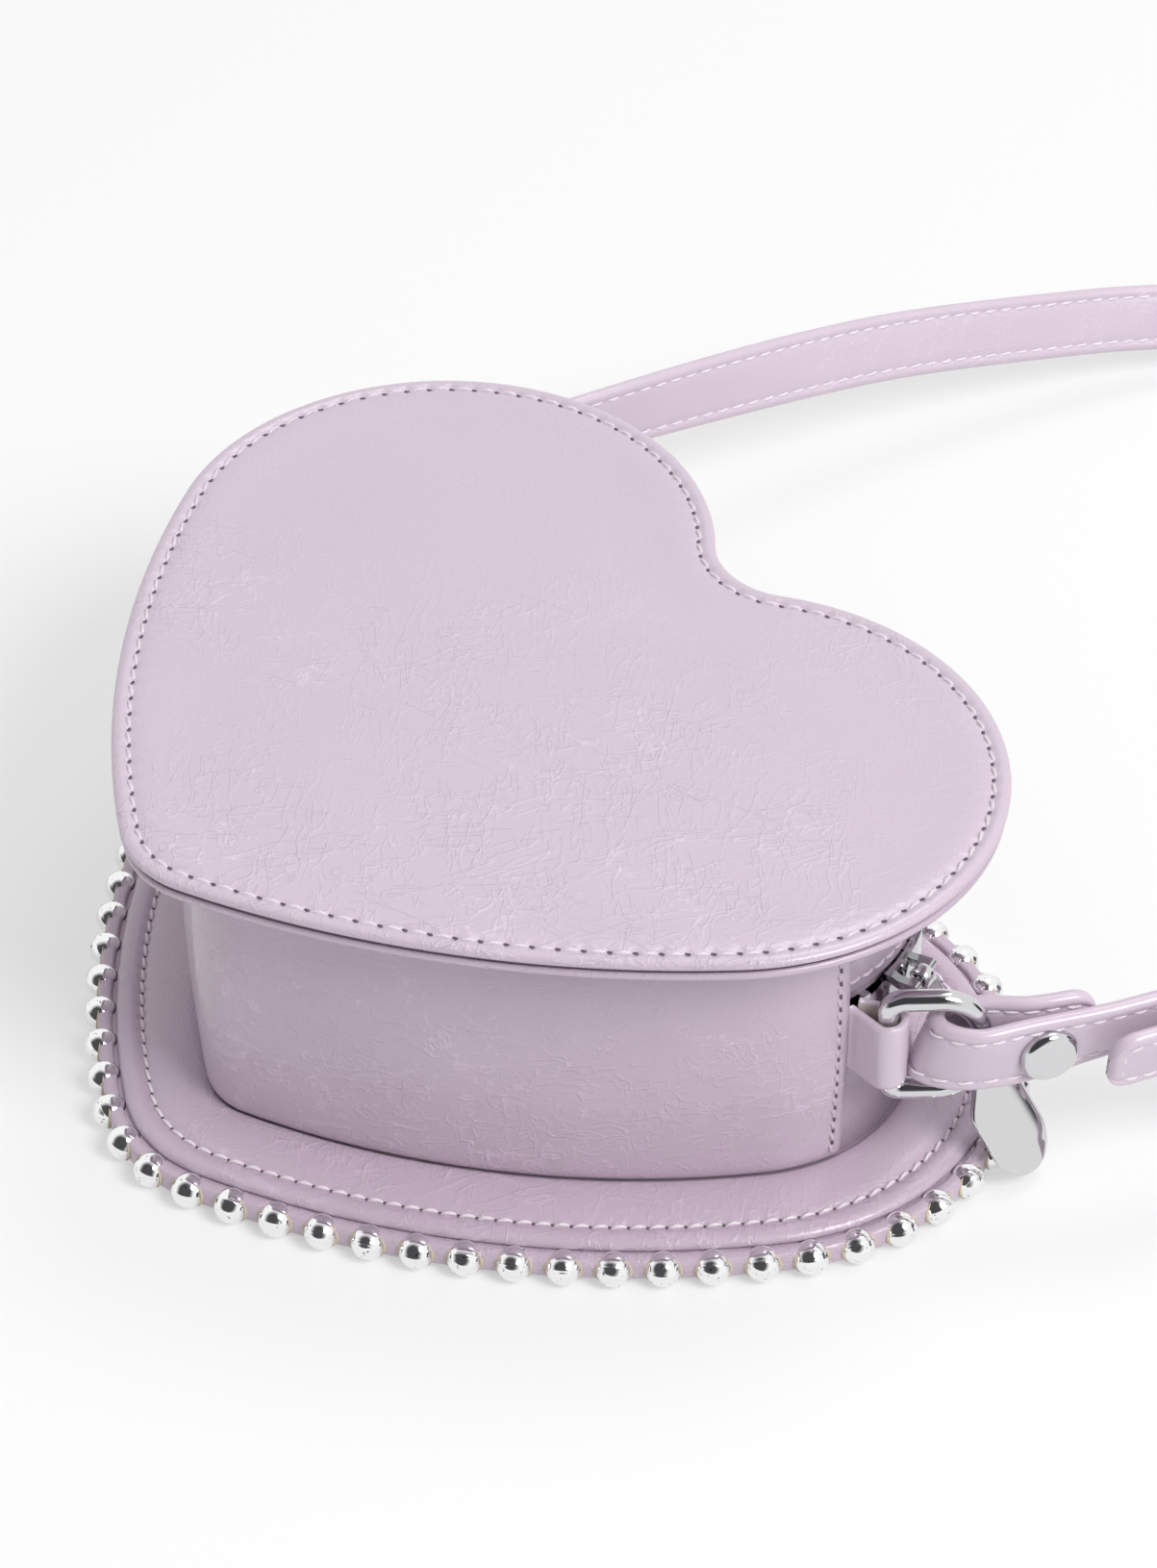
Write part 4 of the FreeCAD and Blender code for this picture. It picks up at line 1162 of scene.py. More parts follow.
# %% Piping
piping_count = bead_count * 12
fine_distances = np.linspace(0, front.length, piping_count, endpoint=False)
bead_distances = np.array([b[3] for b in beads])
gap = np.abs((fine_distances[:, None] - bead_distances[None, :] + front.length / 2) % front.length
             - front.length / 2).min(axis=1)
points, normals = front.stations(fine_distances)
tube_sides = 20
deep = 1.25 * MM + 0.25 * MM * np.exp(-((gap / (2.1 * MM)) ** 2))
rows = []
for side in range(tube_sides):
    turn = 2 * math.pi * side / tube_sides
    flat = math.copysign(abs(math.cos(turn)) ** 0.5, math.cos(turn))
    tall = math.copysign(abs(math.sin(turn)) ** 0.5, math.sin(turn))
    reach = bead_offset - 0.75 * MM + deep * flat
    height = np.full(piping_count, bead_level + 2.05 * MM * tall)
    rows.append(np.column_stack([points + normals * reach[:, None], height]))
tube = np.array(rows)
faces = grid_faces(tube_sides, piping_count, close_rows=True, close_columns=True)
piping_tube = new_piece("piping_tube", tube.reshape(-1, 3), faces, leather_flange)
finish_piece(piping_tube, "bag", "gusset_leather", "stud_piping")
web_profile = [
    (-2.0 * MM, piping_low), (6.6 * MM, piping_low + 0.5 * MM), (6.9 * MM, bead_level - 0.2 * MM),
    (6.6 * MM, bead_level + 0.9 * MM), (4.6 * MM, flange_low - 0.25 * MM), (-2.0 * MM, flange_low)]
piping_web = band_piece("piping_web", front, web_profile, 480, leather_flange)
finish_piece(piping_web, "bag", "gusset_leather")
print("piping", len(piping_tube.data.vertices), "points, web", len(piping_web.data.vertices))

# %% [markdown]
# Each bead is a moulded plastic ball with a bright metal coat. The two halves of the mould leave a fine ridge
# round its middle. Blender's own sphere has no ridge, so the ball is made ring by ring, with three rings close
# together at its equator.


# %% One bead
def bead_shape(sides=24):
    """Unit bead with a mould ridge round its equator."""
    polars = sorted([math.pi * i / 18 for i in range(1, 18)] + [math.pi / 2 - 0.06, math.pi / 2 + 0.06])
    rings = len(polars) + 1
    points = [(0, 0, 1)]
    for polar in polars:
        ridge = 1 + 0.024 * math.exp(-(((polar - math.pi / 2) / 0.03) ** 2))
        for j in range(sides):
            turn = 2 * math.pi * j / sides
            points.append((ridge * math.sin(polar) * math.cos(turn), ridge * math.sin(polar) * math.sin(turn),
                           math.cos(polar)))
    points.append((0, 0, -1))
    faces = grid_faces(rings - 1, sides, close_columns=True, first=1)
    last = len(points) - 1
    for j in range(sides):
        k = (j + 1) % sides
        faces.append((0, 1 + k, 1 + j))
        faces.append((last, 1 + (rings - 2) * sides + j, 1 + (rings - 2) * sides + k))
    faces = [tuple(reversed(face)) for face in faces]
    return np.array(points), faces


print("bead points", len(bead_shape()[0]))

# %% [markdown]
# The cut edge of a punched hole shows as a cream crescent on both sides of its bead. It is a small tube that is
# thick in the middle and thin at its ends.


# %% One punched edge
def hole_edge(steps=11, section=6):
    """Cut edge of a punched hole on one side of a unit bead: a crescent in the Y-Z plane, about X."""
    points = []
    for i in range(steps):
        share = 2 * i / (steps - 1) - 1
        turn = math.radians(50) * share
        thick = 0.02 + 0.07 * math.cos(share * math.pi / 2)
        for j in range(section):
            small = 2 * math.pi * j / section
            reach = 0.99 + thick * math.cos(small)
            points.append((thick * 1.3 * math.sin(small), reach * math.cos(turn), reach * math.sin(turn)))
    return np.array(points), grid_faces(steps, section, close_columns=True) + end_caps(steps, section)


print("punched edge points", len(hole_edge()[0]))

# %% [markdown]
# The row puts a bead and two crescents at each place. No two beads sit at quite the same angle, so each one is
# rolled about the cord by its own amount, from sines of its number and not from chance.

# %% Bead row
bead_spots = []
edge_spots = []
for i, (place, outward, way, distance) in enumerate(beads):
    roll = -0.70 + 0.28 * math.sin(i * 2.4) + 0.14 * math.cos(i * 5.1)
    cord_way = Vector((way.x, way.y, 0))
    middle = Vector((place.x, place.y, bead_level))
    bead_spots.append((Matrix.Rotation(-roll, 3, cord_way) * bead_radius, middle))
    look = Vector((outward.x, outward.y, 0.12)).normalized()
    for side in (cord_way, -cord_way):
        axes = [look * bead_radius, side * bead_radius, look.cross(side) * bead_radius]
        edge_spots.append((axes, middle + look * 0.5 * MM))
bead_string = new_piece("bead_string", *scatter(*bead_shape(), bead_spots), bead_silver)
finish_piece(bead_string, "bag", "bead_silver", "stud_beads")
punched_edges = new_piece("punched_edges", *scatter(*hole_edge(), edge_spots), edge_cream)
finish_piece(punched_edges, "bag", "gusset_leather")
give_finish("bead_cord", thread_pale)
print("bead row", len(bead_string.data.vertices))

# %% [markdown]
# ## Front panel and padding
#
# The front panel faces the floor, and foam behind it makes it soft. Both are plates on the front heart: the panel has
# a rolled edge and a shallow groove, and the foam a round one. The foam is glued between board and panel, so it is
# a set form and not a simulated cushion.

# %% Front panel and padding
front_profile = [(-14.0, 1.2), (-6.0, 1.2), (3.4, 1.2), (4.1, 1.1), (4.5, 0.75), (4.5, 0.45), (4.1, 0.12),
                 (3.2, 0.0), (0.5, 0.0), (0.0, 0.14), (-0.5, 0.0), (-6.0, 0.0), (-14.0, 0.0)]
front_edge = [(offset * MM, floor_level + rise * MM) for offset, rise in front_profile]
front_face = plate_piece("front_panel_leather", front, front_edge, front_count // 2, floor_level + 0.02 * MM,
                         piping_low, fill_shares, leather_panel)
finish_piece(front_face, "bag", "panel_leather", "front_panel")
padding_low, padding_high = (corner.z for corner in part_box("front_padding"))
padding_edge = [(-9.0, 0.97), (-5.0, 0.9), (-3.0, 0.72), (-2.4, 0.5), (-3.0, 0.25), (-5.0, 0.06), (-9.0, 0.02)]
padding_thick = padding_high - padding_low
padding_profile = [(offset * MM, padding_low + padding_thick * rise) for offset, rise in padding_edge]
padding = plate_piece(
    "front_foam", front, padding_profile, 320, padding_low, padding_high, fill_shares, foam)
finish_piece(padding, "bag", "padding_foam", "front_padding")
print("front panel", len(front_face.data.vertices), "points, foam", len(padding.data.vertices))

# %% [markdown]
# ## Lining
#
# The lining covers both boards and hangs a little loose inside the wall, below and above the zipper. It is hardly
# seen, so a thin band with a slight belly is enough for its walls.

# %% Lining
for node, heart in (("front_lining", front), ("back_lining", back)):
    low, high = (corner.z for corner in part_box(node))
    inset = -15.0 * MM
    edge = [(inset - 0.3 * MM, high), (inset, (low + high) / 2), (inset - 0.3 * MM, low)]
    cloth = plate_piece(node + "_cloth", heart, edge, 320, low, high, fill_shares, lining_cloth)
    finish_piece(cloth, "bag", "lining_cloth", node)
zip_room = 6.2 * MM
hangings = [("wall_lining_lower", wall_low, zip_level - zip_room, wall_low, ["wall_lining"]),
            ("wall_lining_upper", zip_level + zip_room, wall_high, wall_high, [])]
for name, low, high, sewn, replaced in hangings:
    hang = [(-12.9 * MM, low), (-12.9 * MM, high), (-13.25 * MM, high), (-13.3 * MM, (sewn + zip_level) / 2),
            (-13.25 * MM, low)]
    finish_piece(band_piece(name, front, hang, 480, lining_cloth), "bag", "lining_cloth", *replaced)
print("lining", [hanging[0] for hanging in hangings])

# %% [markdown]
# ## Strap
#
# The strap is leather folded round a core, so its long edges are thick and round, and a row of stitches runs
# beside each edge on both faces. A curve with a flat bevel would follow a route too, but it carries no stitches, and
# its tilt is hard to keep upright. So Blender's NURBS spline turns a route of a few points into one smooth line, and
# the strap's section is then carried along that line, upright, with a slow lean where the strap tips over.


# %% Smooth line of a route
class StrapLine:
    """Middle line of a strap, read from the spline through its route."""

    def __init__(self, name, route):
        data = bpy.data.curves.new(name, "CURVE")
        data.dimensions = "3D"
        data.resolution_u = 24
        spline = data.splines.new("NURBS")
        spline.points.add(len(route) - 1)
        for point, place in zip(spline.points, route):
            point.co = (*(Vector(place) * MM), 1)
        spline.order_u = 3
        spline.use_endpoint_u = True
        holder = bpy.data.objects.new(name, data)
        bpy.context.scene.collection.objects.link(holder)
        mesh = bpy.data.meshes.new_from_object(holder)
        self.points = np.array([vertex.co[:] for vertex in mesh.vertices])
        bpy.data.objects.remove(holder)
        bpy.data.curves.remove(data)
        bpy.data.meshes.remove(mesh)
        steps = np.linalg.norm(np.diff(self.points, axis=0), axis=1)
        self.along = np.concatenate([[0], np.cumsum(steps)])
        self.length = self.along[-1]
        self.ways = np.gradient(self.points, axis=0)
        self.slant = None

    def at(self, distance, lean=0.0, lift=0.0):
        """Place, direction, edge direction and face normal at a distance along the strap."""
        place = np.array([np.interp(distance, self.along, self.points[:, k]) for k in range(3)])
        way = np.array([np.interp(distance, self.along, self.ways[:, k]) for k in range(3)])
        way /= np.linalg.norm(way)
        face = np.cross(way, [0, 0, 1])
        face /= np.linalg.norm(face)
        edge = np.cross(face, way)
        leaned = edge * math.cos(lean) + face * math.sin(lean)
        face = np.cross(way, leaned)
        if self.slant is not None:
            leaned = leaned + self.slant(distance)
        return place + np.array([0, 0, lift]), way, leaned, face


print("strap lines are ready to be read")

# %% [markdown]
# The strap is in two lengths that meet at a buckle. The short one loops through the near ring. The long one loops
# through the far ring, sinks to the floor in a wide bow, folds back on itself where it is put away, and ends past the
# buckle in a tail. The points are the CAD route's own, in millimetres.

# %% Routes of the strap
ring_loop = [
    (94.80, 54.10, 33.4), (91.35, 45.07, 33.4), (85.70, 39.80, 33.4), (82.00, 36.00, 33.4), (79.80, 31.41, 33.4),
    (82.60, 28.21, 33.4), (87.30, 30.21, 33.4), (91.10, 34.57, 33.4), (98.03, 54.39, 34.2)]
short_route = ring_loop + [
    (103.70, 69.70, 35.4), (107.30, 76.90, 30.8), (111.40, 84.40, 25.79), (115.31, 93.20, 23.55),
    (125.85, 116.87, 17.55)]
long_route = [
    (-83.33, 57.72, 33.4), (-83.42, 48.22, 33.4), (-80.6, 42.6, 33.4), (-78.0, 37.0, 33.4), (-77.25, 31.43, 33.4),
    (-80.97, 29.38, 33.4), (-84.7, 32.87, 33.4), (-86.78, 38.27, 33.4), (-86.52, 59.26, 33.4),
    (-86.0, 76.97, 33.13), (-83.2, 96.97, 32.23), (-81.6, 116.97, 30.12), (-80.2, 137.97, 27.21),
    (-78.0, 159.98, 23.79), (-72.8, 186.98, 18.77), (-65.3, 216.98, 13.48), (-50.0, 245.98, 8.81),
    (-24.0, 271.98, 6.7), (12.0, 290.98, 6.7), (58.0, 297.98, 6.7), (104.0, 290.98, 6.7), (146.0, 268.98, 6.7),
    (182.0, 237.98, 6.7), (211.0, 206.98, 6.7), (222.0, 185.98, 6.7), (213.0, 169.98, 6.7), (192.0, 177.98, 6.7),
    (161.0, 207.98, 6.7), (130.0, 240.98, 6.7), (104.0, 263.98, 6.7), (83.0, 267.98, 6.7), (73.0, 253.98, 6.7),
    (82.0, 234.98, 6.7), (110.0, 207.98, 6.7), (134.0, 186.98, 6.7), (145.5, 176.48, 6.81), (146.0, 162.98, 7.63),
    (140.64, 149.1, 9.33), (133.96, 132.88, 13.39), (133.07, 126.45, 14.84)]
tail_route = [(133.07, 126.45, 14.84), (131.73, 116.81, 17.01), (124.18, 105.24, 20.17), (114.40, 83.20, 25.76),
              (110.30, 72.60, 31.2), (106.20, 60.50, 33.4), (103.11, 49.57, 32.6)]
short_line = StrapLine("short_line", short_route)
long_line = StrapLine("long_line", long_route)
tail_line = StrapLine("tail_line", tail_route)
print("strap lengths", [round(line.length, 4) for line in (short_line, long_line, tail_line)])

# %% [markdown]
# Half of the strap's section is listed from one edge to the middle: a round edge, a rolled ridge, the groove of
# the stitches and the flat middle. The rest is its mirror image. The free ends are rounded in plan and rounded over.

# %% Strap section and ends
half_width = 6.5 * MM
half_section = [(6.5, 0.0), (6.4, 0.5), (6.14, 0.93), (5.75, 1.22), (5.3, 1.35), (4.85, 1.28), (4.58, 1.12),
                (4.35, 1.0), (4.1, 1.07), (3.75, 1.2), (3.0, 1.28), (1.6, 1.32), (0.0, 1.33)]
upper = half_section + [(-u, v) for u, v in reversed(half_section[:-1])]
strap_section = np.array(upper + [(u, -v) for u, v in reversed(upper[1:-1])]) * MM
tip_radius = 4.6 * MM


def tip_width(distance):
    """Share of the strap's width that is left near a rounded free end."""
    if distance >= tip_radius:
        return 1.0
    return 1 - (tip_radius - math.sqrt(tip_radius ** 2 - (tip_radius - distance) ** 2)) / half_width


def tip_thickness(distance):
    """Share of the strap's thickness near its free end, which is rounded over."""
    reach = 1.3 * MM
    return 1.0 if distance >= reach else math.sqrt(max(1 - (1 - distance / reach) ** 2, 0.02))


print("section points", len(strap_section))

# %% [markdown]
# The stitches are first laid out on the flat strap: a row beside each edge, joined by a turn round a free end.

# %% Path of the strap's stitches
stitch_row = 4.35 * MM


def stitch_path(start, end, tip):
    """Points along the stitches in the flat strap: along one edge, round the tip if there is one, and back."""
    inset = half_width - stitch_row
    turn_radius = tip_radius - inset
    if tip is None:
        return [[(start, stitch_row), (end, stitch_row)], [(start, -stitch_row), (end, -stitch_row)]]
    inner = 1 if tip == start else -1
    centre = tip + inner * tip_radius
    far = end if tip == start else start
    path = [(far, stitch_row)]
    for side in (1, -1):
        angles = np.linspace(0, 90, 9) if side == 1 else np.linspace(90, 0, 9)
        for angle in np.radians(angles):
            path.append((centre - inner * turn_radius * math.sin(angle),
                         side * (half_width - tip_radius + turn_radius * math.cos(angle))))
    path.append((far, -stitch_row))
    return [path]


print("stitch rows", stitch_row, "m from the middle")

# %% [markdown]
# Along that path the stitches are spaced evenly and set on both faces of the leather, turned with the strap where it
# bends and leans. They can't be left to a texture, because they stand out against the light.

# %% Stitches of the strap
strap_pitch = 3.5 * MM


def strap_stitches(line, lean, lift, tip, start, end):
    """Points and faces of the stitches on both faces of a strap."""
    places = []
    ways = []
    ups = []
    for path in stitch_path(start, end, tip):
        flat = np.array(path)
        along = np.concatenate([[0], np.cumsum(np.linalg.norm(np.diff(flat, axis=0), axis=1))])
        count = int(round(along[-1] / strap_pitch))
        for i in range(count):
            middle = (i + 0.5) * along[-1] / count
            ends = [np.array([np.interp(middle + d, along, flat[:, k]) for k in (0, 1)]) for d in (-MM, MM)]
            spot = (ends[0] + ends[1]) / 2
            run = (ends[1] - ends[0]) / np.linalg.norm(ends[1] - ends[0])
            place, way, edge, face = line.at(spot[0], lean(spot[0]), lift(spot[0]))
            for side in (1, -1):
                places.append(place + edge * spot[1] + face * (side * 1.14 * MM))
                ways.append(way * run[0] + edge * run[1])
                ups.append(face * side)
    return stitch_mesh(places, ways, ups, strap_pitch * 0.82, 0.28 * MM)


print("strap stitches every", strap_pitch, "m")

# %% [markdown]
# The section is set upright at each station of the line. The stations are two millimetres apart, and closer at the
# ends, where the leather is rounded. The stitches join the same mesh with a finish of their own.

# %% Strap with its stitches
end_stations = [n * MM for n in (0.0, 0.1, 0.3, 0.6, 1.0, 1.5, 2.2, 3.0, 4.0, 5.0, 6.5)]


def strap_piece(name, line, lean, lift, tip, stitch_start, stitch_end):
    """Strap along a line, with its stitches in the same mesh."""
    stations = list(np.arange(8 * MM, line.length - 8 * MM, 2.0 * MM))
    stations = end_stations + stations + [line.length - n for n in reversed(end_stations)]
    rows = []
    for distance in stations:
        place, way, edge, face = line.at(distance, lean(distance), lift(distance))
        wide = thick = 1.0
        if tip is not None:
            wide = tip_width(abs(distance - tip))
            thick = tip_thickness(abs(distance - tip))
        rows.append(place + np.outer(strap_section[:, 0] * wide, edge) + np.outer(strap_section[:, 1] * thick, face))
    size = len(strap_section)
    faces = grid_faces(len(rows), size, close_columns=True) + end_caps(len(rows), size)
    points = np.vstack(rows)
    thread_points, thread_faces = strap_stitches(line, lean, lift, tip, stitch_start, stitch_end)
    split = len(faces)
    faces += [tuple(len(points) + k for k in face) for face in thread_faces]
    piece = new_piece(name, np.vstack([points, thread_points]), faces, leather_strap, thread_strap)
    piece.data.polygons.foreach_set("material_index", [0] * split + [1] * len(thread_faces))
    return piece


print("stations at each end", len(end_stations))

# %% [markdown]
# A free strap doesn't stay upright: it tips over where it hangs, and the loop at the ring is pulled aside. Each of
# these is an angle or a shift that rises and falls smoothly along the strap, by distances in metres. Posing it with
# bones would need a rig for one still shape.


# %% Lean, slant and lift
def hump(distance, rise, top, fall, end):
    """Smooth rise from 0 to 1 and fall back to 0."""
    up = min(max((distance - rise) / (top - rise), 0), 1)
    down = min(max((end - distance) / (end - fall), 0), 1)
    return up * up * (3 - 2 * up) * down * down * (3 - 2 * down)


def short_lean(distance):
    """Lean of the short strap past the ring."""
    return math.radians(12) * hump(distance, 0.045, 0.065, 0.075, 0.095)


def tail_lean(distance):
    """Lean of the tail, the other way."""
    return -math.radians(12) * hump(distance, 0.042, 0.066, 0.2, 0.3)


def far_lean(distance):
    """Lean of the long strap where it sinks to the floor."""
    return math.radians(-25) * hump(distance, 0.06, 0.16, 0.36, 0.46)


def loop_slant(distance):
    """Sideways pull on the upper edge of the loop in the near ring."""
    return np.array([0.235, 0.202, 0.0]) * hump(distance, 0.008, 0.022, 0.034, 0.048)


def end_lift(distance):
    """Lift of a looped end above the strap that it is riveted to."""
    return 1.3 * MM * hump(distance, -0.001, 0.0, 0.0, 0.034)


def no_lift(distance):
    """Level all along."""
    return 0.0


print("most lean", math.degrees(far_lean(0.2)), "degrees")

# %% [markdown]
# The end that loops through the D-ring is riveted to itself. Each length is made along its line, stands in for its CAD
# node, and keeps its points where they are made.

# %% Short strap, tail and long strap
short_line.slant = loop_slant
short_strap = strap_piece(
    "short_strap_leather", short_line, short_lean, end_lift, 0.0, 0.0, short_line.length - 6 * MM)
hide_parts("short_strap")
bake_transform(short_strap)
tail_end = tail_line.length
strap_tail = strap_piece("strap_tail_leather", tail_line, tail_lean, no_lift, tail_end, 2 * MM, tail_end)
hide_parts("strap_tail")
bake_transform(strap_tail)
long_strap = strap_piece(
    "long_strap_leather", long_line, far_lean, end_lift, 0.0, 0.0, long_line.length - 2 * MM)
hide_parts("long_strap")
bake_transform(long_strap)
print("strap", [len(p.data.vertices) for p in (short_strap, strap_tail, long_strap)])

# %% [markdown]
# At the buckle the short strap is folded round the frame's bar. The fold is a rolled band with a gap in its
# middle for the prong, so it is two rings. They are made in plain axes and then turned into place at the buckle.

# %% Hem at the buckle
buckle_place = Vector((126.8, 119.005, 17.006)) * MM
strap_way = Vector((0.39625, 0.88995, -0.22579))
inward = Vector((-0.91354, 0.40675, 0.0))
strap_across = strap_way.cross(inward)
buckle_axes = np.array([strap_way, inward, strap_across])


def at_buckle(points):
    """Points given along the strap, towards the bag and across the strap, set at the buckle's bar."""
    return np.array(points) @ buckle_axes + np.array(buckle_place)


hem_points = []
hem_faces = []
for low, high in ((-6.4, -2.1), (2.1, 6.4)):
    first = len(hem_points)
    ring_profile = [(1.65, low), (2.4, low + 0.05), (3.0, low + 0.35), (3.18, low + 0.9), (3.18, high - 0.9),
                    (3.0, high - 0.35), (2.4, high - 0.05), (1.65, high)]
    for i in range(28):
        turn = 2 * math.pi * i / 28
        for reach, level in ring_profile:
            hem_points.append((reach * math.cos(turn) * MM, reach * math.sin(turn) * MM, level * MM))
    hem_faces += grid_faces(28, len(ring_profile), close_rows=True, close_columns=True, first=first)
strap_hem = new_piece("strap_hem", at_buckle(hem_points), hem_faces, leather_strap)
finish_piece(strap_hem, "bag", "strap_leather")
print("hem", len(hem_points), "points")

# %% [markdown]
# Behind the hem sits the keeper, a small leather loop that holds the tail. A bent strip with a thickness modifier
# would do, but here its section of rounded edges is carried round a rounded rectangle, like the other edges.


# %% Keeper
def rounded_box_loop(low, high, half, radius, corner_steps=5):
    """Closed loop of a rounded rectangle in the plane across the strap."""
    loop = []
    for cx, cy, start in ((high - radius, half - radius, 0), (low + radius, half - radius, 90),
                          (low + radius, -half + radius, 180), (high - radius, -half + radius, 270)):
        for angle in np.radians(np.linspace(start, start + 90, corner_steps)):
            loop.append((cx + radius * math.cos(angle), cy + radius * math.sin(angle)))
    return loop


keeper_rows = []
keeper_section = [(-3.4, 0.1), (-3.0, 0.9), (-2.4, 1.1), (0.0, 1.15), (2.4, 1.1), (3.0, 0.9), (3.4, 0.1), (3.0, 0.02),
                  (0.0, 0.0), (-3.0, 0.02)]
for along, out in keeper_section:
    loop = rounded_box_loop(-5.1 - out, 1.7 + out, 6.8 + out, 0.9 + out)
    keeper_rows.append([((-25.0 + along) * MM, over * MM, across * MM) for over, across in loop])
keeper_points = at_buckle(np.array(keeper_rows).reshape(-1, 3))
keeper_faces = grid_faces(len(keeper_section), len(keeper_rows[0]), close_rows=True, close_columns=True)
keeper = new_piece("keeper_loop", keeper_points, keeper_faces, leather_strap)
finish_piece(keeper, "strap_keeper", "strap_leather", "strap_keeper")
print("keeper", len(keeper_points), "points")

# %% [markdown]
# ## Ring tabs
#
# A tab is a short strip of leather folded round the straight bar of a D-ring, with both ends in the side seam.
# Its fold is drawn in plan first, in millimetres: out along one side, round the bar and back.

# %% Fold of a tab
bar_place = np.array([78.45, 24.175])
tab_low, tab_high = (corner.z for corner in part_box("ring_tab_right"))
tab_high -= 0.8 * MM
near_root = np.array([72.9, 21.15])
far_root = np.array([72.45, 23.3])
root_way = np.array([0.8865, 0.463])
root_side = np.array([0.463, -0.8865])
fold_radius = 2.8
plan = [near_root + (bar_place + root_side * fold_radius - near_root) * t for t in (0.0, 0.25, 0.5, 0.75)]
for angle in np.radians(np.linspace(-90, 90, 19)):
    plan.append(bar_place + (root_way * math.cos(angle) - root_side * math.sin(angle)) * fold_radius)
plan += [far_root + (bar_place - root_side * fold_radius - far_root) * t for t in (0.75, 0.5, 0.25, 0.0)]
plan = np.array(plan)
plan_way = np.gradient(plan, axis=0)
plan_way /= np.linalg.norm(plan_way, axis=1)[:, None]
plan_out = np.column_stack([plan_way[:, 1], -plan_way[:, 0]])
print("points of the fold", len(plan))

# %% [markdown]
# The strip's section then follows the fold. Its outside is leather and its inside shows the cream backing, so the
# mesh has two materials. The far tab is the near one's mirror image, with its faces turned over.

# %% Ring tabs
tab_half = (tab_high - tab_low) / 2 / MM
tab_section = [(0.66, -tab_half + 0.35), (0.72, -tab_half + 0.9), (0.74, 0.0), (0.72, tab_half - 0.9),
               (0.66, tab_half - 0.35), (0.35, tab_half - 0.05), (-0.35, tab_half - 0.05), (-0.66, tab_half - 0.35),
               (-0.7, 0.0), (-0.66, -tab_half + 0.35), (-0.35, -tab_half + 0.05), (0.35, -tab_half + 0.05)]
tab_middle = (tab_low + tab_high) / 2
for side, node in ((1, "ring_tab_right"), (-1, "ring_tab_left")):
    rows = []
    for spot, out in zip(plan, plan_out):
        for offset, level in tab_section:
            x, y = (spot + out * offset) * MM
            rows.append((side * x, y, tab_middle + level * MM))
    size = len(tab_section)
    faces = grid_faces(len(plan), size, close_columns=True)
    marks = [1 if face[0] % size in (7, 8) else 0 for face in faces]
    faces += end_caps(len(plan), size)
    if side < 0:
        faces = [tuple(reversed(face)) for face in faces]
    tab = new_piece(node + "_leather", rows, faces, leather_strap, tab_inside)
    tab.data.polygons.foreach_set("material_index", marks + [1, 1])
    finish_piece(tab, "bag", "gusset_leather", node)
print("tabs", len(rows))

# %% [markdown]
# ## Metal
#
# The D-rings, rivets, buckle, zipper teeth, stops and slider keep their CAD shapes and get plated finishes. The
# zipper pull is made again as a thin plate with softened edges, because a mirror shows its edge first. Its outline
# is a narrow neck that widens to a paddle with a round end, given as a half width at each distance from its eye.

# %% Outline of the pull
neck_half = 2.0
neck_end = 20.0
paddle_start = 26.0
paddle_half = 6.2
round_start = 40.27 - paddle_half


def pull_half_width(distance):
    """Half width of the pull at a distance from its eye, in millimetres."""
    if distance < neck_end:
        return neck_half
    if distance < paddle_start:
        share = (distance - neck_end) / (paddle_start - neck_end)
        return neck_half + (paddle_half - neck_half) * share * share * (3 - 2 * share)
    if distance < round_start:
        return paddle_half
    return math.sqrt(max(paddle_half ** 2 - (distance - round_start) ** 2, 0.0))


pull_stations = [0.0, 4.0, 8.0, 12.0, 16.0, 19.0] + list(np.linspace(neck_end, paddle_start, 9)) + [28.0, 30.0, 32.0]
pull_stations += [round_start + paddle_half * math.sin(a) for a in np.linspace(0.0, math.pi / 2 - 0.03, 20)]
print("pull stations", len(pull_stations))

# %% [markdown]
# Both faces of the plate are slightly domed, one side more than the other, and its edges are broken by two rows of
# points. On a mirror this shows as a soft dark line along the edge.

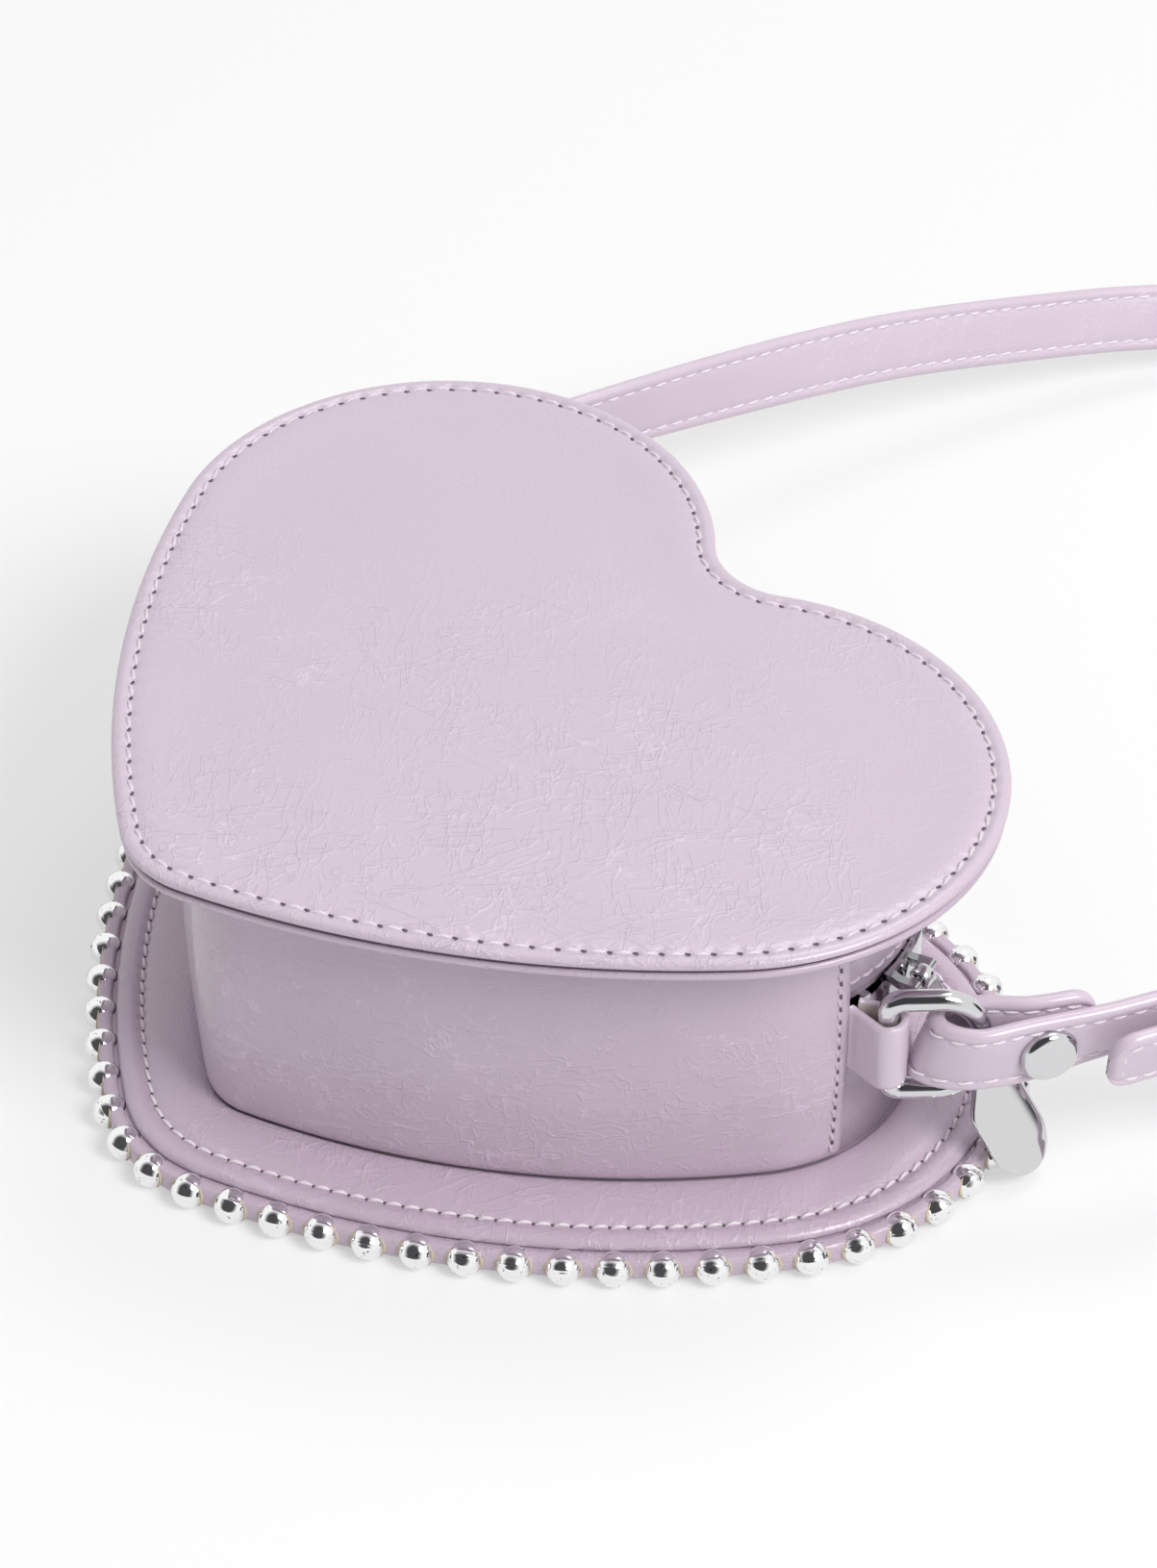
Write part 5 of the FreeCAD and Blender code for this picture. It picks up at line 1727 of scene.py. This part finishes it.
# %% Plate of the pull
pull_points = []
for distance in pull_stations:
    half = pull_half_width(distance)
    flat = max(half - 3.4, half * 0.35)
    face = []
    for share in (-1.0, -0.97, -0.9, -0.8, -0.7, -0.6, -0.4, 0.0, 0.4, 0.6, 0.7, 0.8, 0.9, 0.97, 1.0):
        past = max(abs(share) * half - flat, 0.0)
        edge = 0.22 if abs(share) == 1.0 else 0.07 if abs(share) == 0.97 else 0.0
        face.append((share * half, 0.6 - (0.028 if share > 0 else 0.008) * past ** 2 - edge))
    pull_points += [(across, height, -distance) for across, height in face]
    pull_points += [(across, -height, -distance) for across, height in reversed(face)]
pull_sides = 2 * len(face)
pull_faces = grid_faces(len(pull_stations), pull_sides, close_columns=True)
pull_faces.append(tuple(range((len(pull_stations) - 1) * pull_sides, len(pull_stations) * pull_sides)))
print("plate points", len(pull_points))

# %% [markdown]
# The pull hangs from the slider by a rolled eye at its neck. Plate and eye are then turned from plain axes to the
# pose that the pull has at rest, and moved to the crown of the slider.

# %% Eye and place of the pull
eye_first = len(pull_points)
eye_section = [(-1.2, 1.36), (-1.2, 1.8), (-1.05, 1.95), (1.05, 1.95), (1.2, 1.8), (1.2, 1.36)]
for i in range(24):
    turn = 2 * math.pi * i / 24
    for across, reach in eye_section:
        pull_points.append((across, reach * math.cos(turn), reach * math.sin(turn)))
pull_faces += grid_faces(24, len(eye_section), close_rows=True, close_columns=True, first=eye_first)
crown = Vector((72.0, 37.185, 36.3)) * MM
pull_heading = Matrix.Rotation(math.radians(116), 3, "Z")
pull_droop = Matrix.Rotation(math.radians(-32.92), 3, "X")
pull_twist = Matrix.Rotation(math.radians(-16), 3, "Z")
pull_turn = pull_heading @ pull_droop @ pull_twist
pull_points = [crown + pull_turn @ (Vector(p) * MM) for p in pull_points]
zip_pull = new_piece("zip_pull_plate", pull_points, pull_faces, chrome)
finish_piece(zip_pull, "zip_pull", "polished_metal", "zip_pull")
print("pull", len(pull_points))

# %% [markdown]
# The other metal pieces are hard and simple, so their CAD meshes are good enough to look at. They only need a
# finish: chrome for the rings, rivets and buckle, and duller plating for the slider and the teeth.

# %% Finishes of the CAD metal pieces
metal_finish = {
    "d_ring_right": chrome, "d_ring_left": chrome, "strap_rivet_right": chrome, "strap_rivet_left": chrome,
    "buckle_frame": chrome, "buckle_prong": chrome, "zip_slider": slider_metal, "zip_teeth_front": teeth_metal,
    "zip_teeth_back": teeth_metal, "zip_top_stops": teeth_metal, "zip_bottom_stop": teeth_metal,
}
for node, finish in metal_finish.items():
    give_finish(node, finish)
print("metal nodes", len(metal_finish))

# %% [markdown]
# ## Cords
#
# The two lengths of strap are flat cords.

print("the strap is two flat cords")
